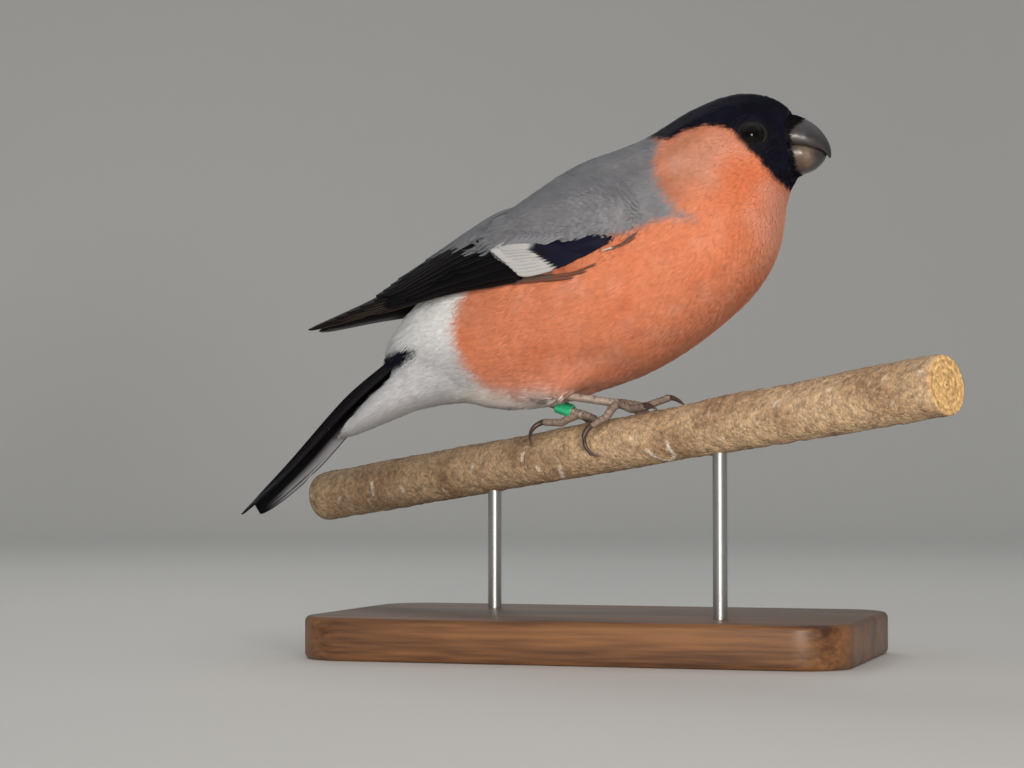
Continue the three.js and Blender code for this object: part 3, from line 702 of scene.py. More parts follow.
def make_wing(name, side):
    dusk = even("primary", "silver", -0.4, 0.25)
    brown = even("primary", "primary_edge", 0.7)
    black = even("quill", "quill_edge")
    primaries = new_work()
    for share, number in row(7):
        root, tip = (0.4, 0.06 + 0.28 * share), (1 - 0.19 * share**1.2, 0.35 + 0.27 * share)
        wing_vane(primaries, side, root, tip, 1.6 + 0.9 * share, -0.5 + 0.09 * number, brown, dusk,
                  lean=0.45, tilt=0.08)
    piece(f"wing_{name}_flight_feathers", primaries, dull_vanes, [f"wing_{name}_primaries"])
    secondaries = new_work()
    for share, number in row(6):
        root, tip = (0.37, 0.13 + 0.44 * share), (0.78 - 0.03 * share, 0.28 + 0.36 * share)
        wing_vane(secondaries, side, root, tip, 2.9, 0.15 + 0.08 * number, black, dusk, lean=0.35, tilt=0.1)
    for share, number in row(4):
        root, tip = (0.43, 0.62 + 0.2 * share), (0.8 - 0.06 * share, 0.66 + 0.24 * share)
        wing_vane(secondaries, side, root, tip, 3, 0.6 + 0.1 * number, black, dusk,
                  lean=0.15, camber=0.4, tilt=0.08)
    arm = f"wing_{name}_secondaries"
    piece(f"wing_{name}_arm_feathers", secondaries, flight_vanes, [arm])
    coverts = new_work()
    for root, tip, half_width, base in LOOSE_EDGE:
        wing_vane(coverts, side, root, tip, half_width, -1, even(base, "primary_edge", 0.0), dusk,
                  clear=0.75, sunk=1.4, camber=0.1, blunt=1.5)
    # The coverts' gloss bases are blue-black, partly their own colour and partly a painted blue sheen
    for share, number in row(5):
        root, tip = (0.12 + 0.01 * share, 0.1 + 0.04 * share), (0.26 + 0.1 * share, 0.085 + 0.08 * share)
        wing_vane(coverts, side, root, tip, 1.1 + 0.2 * share, -1, even("gloss", "quill_edge", 0.6), dusk,
                  clear=0.55 + 0.06 * number, camber=0.15, tilt=0.1)
    for share, number in row(9):
        root, tip = (0.2 + 0.045 * share, 0.09 + 0.09 * share), (0.405 + 0.055 * share, 0.045 + 0.28 * share)
        bar_from = 0.1 / (tip[0] - root[0])
        wing_vane(coverts, side, root, tip, 1.55, 0.9, tipped("gloss", "bar", bar_from), dusk,
                  clear=0.6 + 0.05 * number, lean=0.1, camber=0.2, tilt=0.14)
    piece(f"wing_{name}_wing_bar", coverts, flight_vanes)
    shoulder = new_work()
    for _, number in row(8):
        root = (0.24 + 0.015 * number, 0.27 + 0.012 * number)
        tip = (0.33 + 0.016 * number, 0.215 + 0.013 * number)
        wing_vane(shoulder, side, root, tip, 0.8, -1, even("ash", "ash_pale", 0.2), dusk,
                  clear=1.1, sunk=1.6, camber=0.1, blunt=1.5)
    for share, _ in row(15):
        reach = chance.uniform(-0.05, 0.05)
        root, tip = (0.36, 0.35 + 0.56 * share), (0.49 + 0.15 * share + reach, 0.32 + 0.55 * share)
        wing_vane(shoulder, side, root, tip, 1, 0.8 + 0.6 * share**0.5, even("ash", "quill", 0.0, 0.4), dusk,
                  clear=0.45, sunk=2.2, lean=0.0, camber=0.2, tilt=0.08, blunt=1.6)
    piece(f"wing_{name}_shoulder_feathers", shoulder, ash_feathers)


for wing_name, wing_side in SIDES.items():
    make_wing(wing_name, wing_side)

# Tail: two halves that slope down from the middle pair as a low roof, each feather under the one before
TAIL_DOWN = np.array([0.7, 0, -0.714])
TAIL_PAIRS = 6
TAIL_SPREAD = 0.8
TAIL_LAYER = 0.44
TAIL_NOTCH = 1.7


def under_tail(k, u):
    # The silver band on the underside is partly the feathers' own paler grey and partly a painted sheen
    silver = ease(-0.3, -0.1, u) * ease(0.85, 0.65, u) * ease(0.1, 0.3, k) * ease(0.98, 0.8, k)
    return mix(PAINT["quill"], PAINT["silver"], silver)


def make_tail():
    bm = new_work()
    for side in SIDES.values():
        for k in range(TAIL_PAIRS):
            root, tip = 0.5 + 0.55 * k, 1.1 + TAIL_SPREAD * k
            shorter = TAIL_NOTCH * (1 - k / (TAIL_PAIRS - 1))
            line = np.array([
                (-45.6, side * root, 65),
                (-56.5, side * (root + tip) / 2, 55.9),
                (-70.6, side * tip, 41.2),
                (-81.4 + shorter * 0.7, side * tip, 30.5 + shorter * 0.71),
            ])
            line = line + TAIL_DOWN * (TAIL_LAYER * k * np.array([1, 1, 0.9, 0.5]))[:, None]
            up = -TAIL_DOWN + np.array([0, side * (0.12 + 0.06 * k), 0])
            vane(bm, curve(line), lambda k: up, 3, -side, even("quill", "quill_edge"), under_tail,
                 lean=0.08 * k, blunt=6, camber=0.3)
    piece("tail_feathers", bm, flight_vanes, ["tail"])


make_tail()

# Bill: two short, deep halves with a ridge on top, a sharp cutting edge and a small hook. A section has
# its top and its low point [x, z], half its width and how much its sides sag.
UPPER_BILL = [
    ((38.8, 111.4), (39.0, 107.0), 4.4, 0.3),
    ((42.0, 113.2), (41.8, 107.1), 5.0, 0.35),
    ((44.4, 112.9), (44.0, 106.9), 4.7, 0.35),
    ((46.6, 111.7), (46.2, 106.4), 3.9, 0.3),
    ((48.5, 109.7), (48.1, 106.0), 2.7, 0.2),
    ((49.8, 107.3), (49.3, 105.2), 1.4, 0.1),
    ((50.2, 105.0), (49.8, 104.4), 0.5, 0.0),
]
LOWER_BILL = [
    ((39.0, 107.0), (39.6, 102.4), 4.0, -0.3),
    ((41.8, 107.6), (42.2, 101.4), 4.7, -0.35),
    ((44.2, 107.5), (44.4, 101.4), 4.4, -0.35),
    ((46.2, 107.0), (46.4, 102.2), 3.6, -0.3),
    ((48.0, 106.4), (47.9, 103.4), 2.4, -0.2),
    ((49.2, 105.8), (49.0, 104.8), 1.0, 0.0),
]
BILL_ROUND_ENDS = (0.4, 0.5)


def bill_half(sections, cutting):
    """place for wrap: a form given by its sections. cutting is 1 where its edge is below, -1 above."""
    top = curve([(x, 0, z) for (x, z), _, _, _ in sections])
    low = curve([(x, 0, z) for _, (x, z), _, _ in sections])
    width = curve([(wide, sag, i) for i, (_, _, wide, sag) in enumerate(sections)])
    last = len(sections) - 1

    def place(t, angle):
        upper, lower, size = top(t), low(t), width(t)
        start = np.minimum(1, t * last / BILL_ROUND_ENDS[0])
        end = np.minimum(1, (1 - t) * last / BILL_ROUND_ENDS[1])
        rounding = np.sqrt(np.clip(1 - (1 - start) ** 2, 0, 1)) * np.sqrt(np.clip(1 - (1 - end) ** 2, 0, 1))
        rise = upper - lower
        half = np.linalg.norm(rise, axis=1) / 2 * rounding
        over, aside = np.cos(angle), np.sin(angle)
        edge = ease(0.25, -0.5, over * cutting)
        level = over - size[:, 1] * aside**2
        growth = 0.005 * np.sin(t * 46 + 2.2 * over) * (1 - edge)
        ridge = 0.05 * ease(0.93, 1, over * cutting)
        spot = (upper + lower) / 2 + unit(rise) * (half * (level + ridge))[:, None]
        full = np.sign(aside) * np.abs(aside) ** (1 - 0.45 * edge)
        spot[:, 1] = size[:, 0] * rounding * full * (1 + growth)
        return spot

    return place


def bill_tint(brown_at):
    """Horn that is nearly black at the tip and greyer at the root, the grey root being a painted highlight,
    with a browner patch on the side.
    """
    def paint(t, angle):
        side = ease(0.35, 0.9, np.abs(np.sin(angle)))
        patch = np.exp(-((t - brown_at) / 0.16) ** 2) * side
        return mix(linear("272122") * (1.2 - 0.75 * t)[:, None], linear("6a5844"), 0.8 * patch)
    return paint


# Bill horn: hard keratin, nearly black, polished by use, with faint growth lines and fine scratches
bill_horn, tree = material("polished_black_bill_horn", Specular_IOR_Level=1.0,
                           Coat_Weight=0.35, Coat_Roughness=0.35)
spot = add(tree, "TexCoord", out="Object")
cloudy = add(tree, "TexNoise", {"Vector": spot, "Scale": 1 / (1.6 * MM), "Detail": 4.0})
dull = {"From Min": 0.35, "From Max": 0.65, "To Min": 0.33, "To Max": 0.46}
scuff = add(tree, "MapRange", {"Value": cloudy, **dull})
grain = add(tree, "Mapping", {"Vector": spot, "Scale": (0.35, 1.0, 1.0)})
growth = add(tree, "TexNoise", {"Vector": grain, "Scale": 1 / (0.5 * MM), "Detail": 3.0})
bump = add(tree, "Bump", {"Height": growth, "Strength": 0.1, "Distance": 0.05 * MM})
feed(tree, Base_Color=toned(tree, cloudy, 0.7, 1.35), Roughness=scuff, Normal=bump)

for half_name, sections, cutting, brown in (("upper", UPPER_BILL, 1, -0.3), ("lower", LOWER_BILL, -1, 0.5)):
    wrap(f"bill_{half_name}_horn", bill_horn, [f"bill_{half_name}"], 70, 56,
         bill_half(sections, cutting), bill_tint(brown))

# Eyes: wet balls with a bulging front, each in a bare rim of skin
# Wet eye: a very dark brown iris with fine fibres round a black pupil, with one sharp highlight
wet_eye, tree = material("wet_dark_brown_eye", Roughness=0.02, IOR=1.376, Specular_IOR_Level=0.3)
feed(tree, Base_Color=add(tree, "Attribute", attribute_name="tint"))
# Bare rim of the eyelids: thin dark grey skin, finely beaded
lid_skin, tree = material("beaded_grey_eyelid_skin", Roughness=0.75, Specular_IOR_Level=0.2)
beads = add(tree, "TexVoronoi", {"Vector": add(tree, "TexCoord", out="Object"), "Scale": 1 / (0.28 * MM)})
shades = add(tree, "ValToRGB", {"Fac": beads})
shades.node.color_ramp.elements[0].color = (*linear("262224"), 1)
shades.node.color_ramp.elements[1].color = (*linear("0f0d0f"), 1)
bump = add(tree, "Bump", {"Height": beads, "Strength": 0.5, "Distance": 0.1 * MM}, invert=True)
feed(tree, Base_Color=shades, Normal=bump)

IRIS_OUT = 2.35
PUPIL_OUT = 1.35


def make_eye(name, side):
    centre, axis = eye_centre(side), eye_axis(side)
    along = unit(flat_to(np.array([1.0, 0, 0]), axis))
    over = np.cross(axis, along) * side
    radius = EYE["radius"]

    def turned(out, lift, angle):
        ring = along * np.cos(angle)[:, None] + over * np.sin(angle)[:, None]
        return centre + ring * out[:, None] + axis * lift[:, None]

    def ball(t, angle):
        bend = t * math.pi
        out, lift = radius * np.sin(bend), radius * np.cos(bend)
        bulge = 0.2 * np.clip(1 - (out / 2.6) ** 2, 0, 1) ** 1.5 * (lift > 0)
        return turned(out, lift + bulge, angle)

    def ball_tint(t, angle):
        out = radius * np.sin(t * math.pi)
        fibres = 0.5 + 0.5 * np.sin(angle * 37 + 3 * np.sin(angle * 11))
        iris = mix(linear("080505"), linear("120b08"), 0.6 * fibres)
        colour = mix(linear("040304"), iris, ease(PUPIL_OUT - 0.08, PUPIL_OUT + 0.08, out))
        return mix(colour, linear("0c0808"), ease(IRIS_OUT - 0.3, IRIS_OUT, out))

    def lids(t, angle):
        bend = t * TURN
        slit = 1 + 0.06 * np.cos(2 * angle)
        tilt = math.radians(61.5) + math.radians(12) * -np.cos(bend)
        fold = 0.04 * np.sin(angle * 26 + 2 * np.sin(angle * 3)) * np.sin(bend)
        far = radius + 0.05 + 0.26 * np.sin(bend) + fold
        return turned(far * np.sin(tilt) * slit, far * np.cos(tilt), angle)

    wrap(f"eye_{name}_ball", wet_eye, [f"eye_{name}"], 72, 96, ball, ball_tint)
    wrap(f"eye_{name}_lids", lid_skin, [], 20, 110, lids)


for eye_name, eye_side in SIDES.items():
    make_eye(eye_name, eye_side)


# The coat: tufts over the whole skin
def surface_tree(names, with_skin=True):
    """What the tips of the tufts lie on, as one tree in mm. The faces are sorted, because solidify makes the
    vanes' rims in another order at each run, and a tip between two faces would land on either."""
    spots = [Vector(p) for p in points] if with_skin else []
    sides = list(skin_faces) if with_skin else []
    for name in names:
        mesh = bpy.data.objects[name].data
        start = len(spots)
        spots += [v.co / MM for v in mesh.vertices]
        sides += sorted(tuple(i + start for i in f.vertices) for f in mesh.polygons)
    return BVHTree.FromPolygons(spots, sides)


# Places where no tuft grows: under the eyes, the bill, the legs, the tail and the folded wing's big feathers
WING_VANES = ("arm_feathers", "flight_feathers", "wing_bar")
VANES = ["tail_feathers"] + [f"wing_{name}_{part}" for name in SIDES for part in WING_VANES]
BARE_UNDER = VANES + ["bill_upper", "bill_lower", "eye_right", "eye_left", "tarsus_right", "tarsus_left"]
COVER_REACH = 4.0


def bare_places():
    cover = surface_tree(BARE_UNDER, with_skin=False)
    bare = (from_eye < EYE["radius"] - 0.15) | (points[:, 0] < -58.5)
    for i in np.flatnonzero(~bare):
        bare[i] = cover.ray_cast(Vector(points[i]), Vector(normals[i]), COVER_REACH)[0] is not None
    return bare


# One tuft is a fan of slim closed blades. Each blade is a six-sided splinter, widest near its middle.
BLADES = 5
TUFT_PATTERNS = 8
SPLINTER_WIDTH = 0.23
MAP_PATCH = 0.003  # how much of its piece's map one tuft takes up


def tuft_pattern():
    """Points and faces of one tuft: it is 1 long, reaches 1 to either side, and is 1 thick."""
    bm = bmesh.new()
    lay_down = Matrix.Rotation(math.pi / 2, 3, "Y")
    for blade in range(BLADES):
        across = 2 * blade / (BLADES - 1) - 1
        verts = bmesh.ops.create_uvsphere(bm, u_segments=3, v_segments=2, radius=1)["verts"]
        bmesh.ops.rotate(bm, verts=verts, cent=(0, 0, 0), matrix=lay_down)
        root = Vector((0.04 * abs(across), 0.3 * across, 0))
        reach = 1 - 0.15 * across**2 + chance.uniform(-0.28, 0.1)
        tip = Vector((reach, 0.85 * across + chance.uniform(-0.25, 0.25), chance.uniform(-1.2, 0.6)))
        for vert in verts:
            share = 0.5 + 0.5 * vert.co.x
            middle = root.lerp(tip, share)
            vert.co = middle + Vector((0, vert.co.y * SPLINTER_WIDTH, vert.co.z * 0.5))
    bmesh.ops.recalc_face_normals(bm, faces=bm.faces)
    pattern = np.array([v.co for v in bm.verts]), np.array([[v.index for v in f.verts] for f in bm.faces])
    bm.free()
    return pattern


patterns = [tuft_pattern() for _ in range(TUFT_PATTERNS)]
pattern_points = np.stack([p for p, _ in patterns])
pattern_faces = patterns[0][1]
LAID_ON = VANES + [f"wing_{name}_shoulder_feathers" for name in SIDES]
LAID_ON += ["bill_upper_horn", "bill_lower_horn"]
coat_tree = surface_tree(LAID_ON)


def grow_tufts(name, roots, finish):
    """One piece of the coat from arrays: roots holds each tuft's point, normal, lie, length, width, height,
    colour and its place on the unwrapped skin."""
    start, normal, lie, height = roots["point"], roots["normal"], roots["lie"], roots["height"]
    count = len(start)
    landed, facing = np.empty((2, count, 3))
    for i, reach in enumerate(start + lie * roots["length"][:, None]):
        own = Vector(normal[i])
        spot, hit, _, _ = coat_tree.find_nearest(reach)
        if hit.dot(own) < 0.6:
            spot, hit, _, _ = skin_tree.find_nearest(reach)
        landed[i] = spot
        facing[i] = hit if hit.dot(own) > 0.7 else own
    tip = landed + facing * height[:, None]
    root = start - normal * 0.15
    middle = (root + tip) / 2 + normal * (0.55 * height)[:, None]
    shape = pattern_points[chance.randint(0, TUFT_PATTERNS, count)]
    t, y, z = (shape[..., i, None] for i in range(3))
    side = unit(np.cross(normal, lie))[:, None]
    bend = (1 - t) ** 2 * root[:, None] + 2 * t * (1 - t) * middle[:, None] + t**2 * tip[:, None]
    facing_at = unit((1 - t) * normal[:, None] + t * facing[:, None])
    co = bend + side * y * roots["width"][:, None, None] + facing_at * z * 0.12
    faces = pattern_faces[None] + (np.arange(count) * pattern_points.shape[1])[:, None, None]
    mesh = bpy.data.meshes.new(name)
    mesh.vertices.add(co.shape[0] * co.shape[1])
    mesh.vertices.foreach_set("co", (co * MM).astype(np.float32).ravel())
    mesh.loops.add(faces.size)
    mesh.loops.foreach_set("vertex_index", faces.astype(np.int32).ravel())
    mesh.polygons.add(faces.size // 3)
    mesh.polygons.foreach_set("loop_start", np.arange(0, faces.size, 3, dtype=np.int32))
    mesh.update(calc_edges=True)
    tone = 1 + chance.normal(0, 0.03, (count, 1)) + chance.normal(0, 0.05, (count, shape.shape[1]))
    tone = tone * (0.8 + 0.2 * ease(0.0, 0.6, t[..., 0]))
    set_colours(mesh, (roots["colour"][:, None] * np.clip(tone, 0.5, 1.3)[..., None]).reshape(-1, 3))
    patch = np.concatenate([t - 0.5, y / 2], axis=-1) * MAP_PATCH
    spots = np.clip(roots["map"][:, None] + patch, 0, 1).reshape(-1, 2)
    spots = spots[faces.ravel()].astype(np.float32)
    mesh.uv_layers.new(name="OFBake").uv.foreach_set("vector", spots.ravel())
    finish_piece(name, mesh, finish)
    own = fetch(mesh.vertex_normals, "vector", 3)
    mesh.normals_split_custom_set_from_vertices(unit(facing_at.reshape(-1, 3) * 0.85 + own * 0.15).tolist())


BLADE_TRIANGLES = 6
PIECE_TUFTS = 190000 // (BLADES * BLADE_TRIANGLES)
COAT = {
    ROSE: ("coat_rose", rose_feathers, "rose_feather"),
    ASH: ("coat_ash", ash_feathers, "ash_feather"),
    WHITE: ("coat_white", white_feathers, "white_feather"),
    BLACK: ("coat_black", cap_feathers, "black_feather"),
}


def fill_map(spots):
    """A piece's part of the unwrapped skin, made to fill its own map."""
    return (spots - spots.min(0)) / np.maximum(np.ptp(spots, axis=0), 1e-6) * 0.99 + 0.005


TIP_SHOWS = 0.6  # a tuft's colour is that of the place under this share of its length
BELLY_FLUFF = 0.8  # how much higher than elsewhere the tufts stand under the belly, in mm
RUMP_FLUFF = 1.5


def grow_coat():
    bare = bare_places()
    roots = np.flatnonzero(~bare)
    shift = chance.uniform(-0.5, 0.5, (len(roots), 2)) * VOXEL
    side = np.cross(normals[roots], lie[roots])
    at = points[roots] + lie[roots] * shift[:, :1] + side * shift[:, 1:]
    length = np.interp(place[roots], COAT_PLACES, COAT_LENGTH)
    near_eye = ease(2.5, 7.5, from_eye[roots])
    length = length * (0.35 + 0.65 * near_eye) * (0.35 + 0.65 * ease(-60, -50, points[roots, 0]))
    on = on_wing[roots]
    streak = ease(0.34, 0.5, wing_s[roots]) * ease(0.2, 0.35, wing_v[roots])
    length = np.where(on, 2.8 + 6.0 * streak * chance.uniform(0.6, 1.2, len(roots)), length)
    height = np.interp(place[roots], COAT_PLACES, COAT_DEPTH) * chance.uniform(0.68, 0.85, len(roots))
    height = height * (0.5 + 0.5 * near_eye)
    height = height + BELLY_FLUFF * ease(59, 55, at[:, 2]) * ease(-38, -30, at[:, 0]) * ease(12, 2, at[:, 0])
    on_rump = ease(-35, -42, at[:, 0]) * ease(61, 65, at[:, 2]) * ease(9, 5, abs(at[:, 1]))
    height = height + RUMP_FLUFF * on_rump
    flutter = chance.normal(0, 0.1, (len(roots), 1))
    tip_at = at + lie[roots] * (TIP_SHOWS * length)[:, None]
    skin_places = nearest_of(points)
    bare_share = even_out(bare[:, None].astype(float), edges, 3)[:, 0]
    ahead = np.array([bare_share[skin_places.find(spot)[1]] for spot in at + lie[roots] * length[:, None]])
    length = length * np.where(streak > 0.05, 1, 1 - 0.6 * ahead)
    colour, sort = markings(tip_at, ash_wing[roots])
    coat = {
        "point": at,
        "normal": normals[roots],
        "lie": unit(lie[roots] + side * flutter),
        "length": length * chance.uniform(0.85, 1.15, len(roots)),
        "width": 0.19 * np.minimum(length, 5) ** 0.85,
        "height": height,
        "colour": colour,
        "map": np.stack([place[roots], angle[roots] / TURN + 0.5], 1),
    }
    for which, (name, finish, slot) in COAT.items():
        chosen = np.flatnonzero(sort == which)
        chosen = chosen[np.argsort(coat["map"][chosen, 0], kind="stable")]
        pieces = max(1, math.ceil(len(chosen) / PIECE_TUFTS))
        for number, part in enumerate(np.array_split(chosen, pieces), 1):
            own = {key: values[part] for key, values in coat.items()}
            own["map"] = fill_map(own["map"])
            grow_tufts(f"{name}_{number}", own, finish)


def grow_bristles():
    """Short stiff feathers that point forward from the face over the root of the bill."""
    bill_tree = surface_tree(["bill_upper_horn", "bill_lower_horn"], with_skin=False)
    roots, outward = [], []
    for i in np.flatnonzero(points[:, 0] > 36):
        spot, normal, _, far = bill_tree.find_nearest(Vector(points[i]))
        if far < 1.5 and (Vector(points[i]) - spot).dot(normal) > 0.1:
            roots.append(i)
            outward.append(normal)
    roots, outward = np.array(roots), np.array(outward)
    forward = flat_to(np.array([1.0, 0, 0]), outward)
    grow_tufts("coat_bristles", {
        "point": points[roots],
        "normal": unit(normals[roots] + outward),
        "lie": unit(unit(forward) + chance.normal(0, 0.18, forward.shape)),
        "length": chance.uniform(1.1, 1.9, len(roots)) + 2.6 * ease(109.5, 112.5, points[roots, 2]),
        "width": np.full(len(roots), 0.22),
        "height": chance.uniform(0.1, 0.35, len(roots)),
        "colour": np.broadcast_to(PAINT["cap"], (len(roots), 3)) * 1.1,
        "map": fill_map(points[roots, 1:]),
    }, cap_feathers)


grow_coat()
grow_bristles()

# Legs and feet
PERCH = {"radius": 5.65, "half": 90, "top": 50, "yaw": -28, "rise": 7}
SWELL = {"front": 0.4, "rear": 0.15}  # how much thicker the branch is towards its two ends
GAP = 0.3  # between the solids, as between the toes' and the perch's
TARSUS = {"radius": 0.85, "foot": 1.35}
TOE_RADIUS = 0.92
TOE_REST = GAP + TOE_RADIUS
CLAW_TIP = 0.45
CLAW_RADIUS = 0.55
# Each foot: where it stands on the perch [along, around, out], its heel and its toes. A toe has its heading,
# how far it turns, its length and how high its end is lifted, and then its claw's length and turn.
FEET = {
    "right": ((7.4, -0.12, 2.8), (-10.4, -7.6, 56.0), {
        "hallux": (258, -44, 7.0, 0.4, 9.2, 138),
        "inner": (52, 10, 8.6, 0.3, 4.4, 12),
        "middle": (4, 12, 12.8, 1.1, 4.6, 4),
        "outer": (-16, 8, 9.4, 0.2, 4.4, -8),
    }),
    "left": ((-5.4, 0.05, 2.3), (-21.0, 5.6, 57.0), {
        "hallux": (207, -12, 8.4, 0.9, 7.4, 130),
        "inner": (52, 6, 8.6, 0.2, 4.2, 10),
        "middle": (68, 8, 12.4, 0.2, 4.6, 12),
        "outer": (88, 10, 9.6, 0.2, 4.4, 14),
    }),
}
yaw, climb = math.radians(PERCH["yaw"]), math.radians(PERCH["rise"])
PERCH_ALONG = np.array([math.cos(yaw) * math.cos(climb), math.sin(yaw) * math.cos(climb), math.sin(climb)])
PERCH_OVER = unit(np.array([0, 0, 1.0]) - PERCH_ALONG * PERCH_ALONG[2])
PERCH_SIDE = np.cross(PERCH_OVER, PERCH_ALONG)


def on_perch(along, around, out):
    """A place by how far along the perch, how far round it, 0 on top, and how far out from its axis."""
    axis = np.array([0, 0, PERCH["top"] - PERCH["radius"]])
    along, around, out = (np.asarray(value, float)[..., None] for value in (along, around, out))
    return axis + PERCH_ALONG * along + PERCH_OVER * np.cos(around) * out + PERCH_SIDE * np.sin(around) * out


def walk(start, heading, turn, length, height):
    """A toe or a claw walks over the perch from a place, on a heading that turns as it goes."""
    steps = 10
    stride = length / steps
    path, places = [], [start]
    for i in range(steps + 1):
        along, around = places[i]
        way = math.radians(heading + turn * i / steps)
        path.append(on_perch(along, around, PERCH["radius"] + height(i / steps)))
        around += math.sin(way) * stride / (PERCH["radius"] + 1)
        places.append((along + math.cos(way) * stride, around))
    return curve(path), places[steps - 1], heading + turn


def scutes(distance, pitch, step=0.07):
    """Plates that overlap along a leg or toe: each rises towards its free edge and then drops."""
    return step * (distance / pitch % 1) ** 1.6


# Leg scales: thin horn plates over bone, dull, brownish flesh grey, dustier between the plates
leg_scales, tree = material("scaled_leg_skin", Specular_IOR_Level=0.4)
spot = add(tree, "TexCoord", out="Object")
dust = add(tree, "TexNoise", {"Vector": spot, "Scale": 1 / (0.9 * MM), "Detail": 4.0, "Roughness": 0.7})
wear = add(tree, "MapRange", {"Value": dust, "To Min": 0.4, "To Max": 0.75})
grains = add(tree, "TexVoronoi", {"Vector": spot, "Scale": 1 / (0.3 * MM)})
bump = add(tree, "Bump", {"Height": grains, "Strength": 0.3, "Distance": 0.06 * MM})
feed(tree, Base_Color=toned(tree, dust, 0.7, 1.3), Roughness=wear, Normal=bump)
# Claw horn: dark brown, smooth and a little glossy, paler at the point
claw_horn, tree = material("dark_brown_claw_horn", Roughness=0.38, Specular_IOR_Level=0.5)
spot = add(tree, "TexCoord", out="Object")
patches = add(tree, "TexNoise", {"Vector": spot, "Scale": 1 / (0.8 * MM), "Detail": 3.0})
feed(tree, Base_Color=toned(tree, patches, 0.75, 1.25))
# Ring: thin anodised aluminium tube, bright green, with a fine drawn grain and worn edges
ring_metal, tree = material("green_anodised_aluminium", Metallic=0.6)
drawn = add(tree, "Mapping", {"Vector": add(tree, "UVMap", uv_map="lay"), "Scale": (1.0, 60.0, 1.0)})
streaks = add(tree, "TexNoise", {"Vector": drawn, "Scale": 3.0, "Detail": 3.0})
worn = add(tree, "MapRange", {"Value": streaks, "To Min": 0.18, "To Max": 0.42})
feed(tree, Base_Color=add(tree, "Attribute", attribute_name="tint"), Roughness=worn)


def leg_tint(base, pitch, length):
    def paint(t, angle):
        groove = ease(0.3, 0.0, t * length / pitch % 1) * ease(-0.3, 0.4, np.sin(angle))
        flecks = ease(0.35, 0.75, np.sin(t * 61 + 5 * np.sin(angle * 3)) * np.sin(t * 23 + angle * 4))
        colour = mix(linear(base), linear("3a302c"), 0.85 * groove)
        colour = mix(colour, linear("a0958b"), 0.5 * flecks)
        # Darker on the lower side of each toe and leg: painted shade
        return mix(colour, linear("55453c"), 0.5 * ease(0.1, -0.6, np.sin(angle)))
    return paint


def make_toe(name, joint, toe):
    heading, turn, length, lifted, claw_length, claw_turn = toe
    down = joint[2] - TOE_REST
    line, near_end, heading = walk(joint[:2], heading, turn, length, lambda t: (
        TOE_REST + down * (1 - float(ease(0, 1, 1.8 * t))) + lifted * float(ease(0, 1, 2 * t - 1))))

    def across(t, angle):
        return TOE_RADIUS * (1.04 - 0.28 * t) * (1 + 0.07 * np.cos(t * math.pi * 6)) * 0.94

    def deep(t, angle):
        upper = across(t, angle) * 0.96 + scutes(t * length, 1.0, 0.13) * ease(0, 0.6, np.sin(angle))
        pads = 1.16 + 0.13 * np.cos(t * math.pi * 6 + math.pi)
        return np.where(np.sin(angle) > 0, upper, across(t, angle) * pads)

    wrap(f"foot_{name}_toe", leg_scales, [f"toe_{name}"], 110, 20, tube(line, across, deep),
         leg_tint("75675d", 1.0, length))
    top = TOE_REST + lifted
    claw, _, _ = walk(near_end, heading, claw_turn, claw_length, lambda t: (
        top + (CLAW_TIP - top) * t + 0.7 * math.sin(math.pi * t) * (1 - 0.4 * t)))

    def claw_wide(t, angle):
        return (CLAW_RADIUS * (1 - t) ** 0.75 + 0.1) * 0.86

    def claw_deep(t, angle):
        return (CLAW_RADIUS * (1 - t) ** 0.7 + 0.1) * np.where(np.sin(angle) > 0, 1.18, 0.95)

    def claw_tint(t, angle):
        return mix(linear("3a2c26"), linear("6e594c"), 0.6 * ease(0.7, 1, t))

    wrap(f"foot_{name}_claw", claw_horn, [f"claw_{name}"], 40, 16, tube(claw, claw_wide, claw_deep),
         claw_tint)


def make_leg(name, joint, heel, toes):
    foot = on_perch(joint[0], joint[1], PERCH["radius"] + joint[2])
    rise = np.array(heel) - foot
    length = np.linalg.norm(rise) * 1.06

    def thicken(t, base):
        return base + (TARSUS["radius"] - base) * ease(0, 1, 3.2 * t)

    def across(t, angle):
        return thicken(t, TARSUS["foot"])

    def deep(t, angle):
        plates = (0.07 - scutes(t * length, 2.0, 0.1)) * ease(0, 0.6, np.sin(angle))
        return thicken(t, TARSUS["foot"] * 0.8) + plates

    line = curve([foot - rise * 0.06, foot + rise * 0.2, heel])
    wrap(f"leg_{name}_tarsus", leg_scales, [f"tarsus_{name}"], 120, 24, tube(line, across, deep),
         leg_tint("8f8278", 2.0, length))
    for toe_name, toe in toes.items():
        make_toe(f"{name}_{toe_name}", joint, toe)
    return foot, unit(rise)


def make_ring(joint, way):
    middle = joint + way * 3.7
    side = unit(np.cross(way, np.array([0, 0, 1.0])))
    over = np.cross(side, way)

    def place(t, angle):
        bend = t * TURN
        out = 1.31 + 0.19 * np.sign(np.cos(bend)) * np.abs(np.cos(bend)) ** 0.35
        along = 1.95 * np.sign(np.sin(bend)) * np.abs(np.sin(bend)) ** 0.2
        ring = side * np.cos(angle)[:, None] + over * np.sin(angle)[:, None]
        return middle + ring * out[:, None] + way * along[:, None]

    def paint(t, angle):
        edge = ease(0.985, 1.0, np.abs(np.sin(t * TURN)) ** 0.2)
        return mix(linear("45d99c"), linear("a9d8c4"), 0.6 * edge)

    wrap("leg_ring_band", ring_metal, ["leg_ring"], 64, 72, place, paint)


legs = {name: make_leg(name, *foot) for name, foot in FEET.items()}
make_ring(*legs["left"])

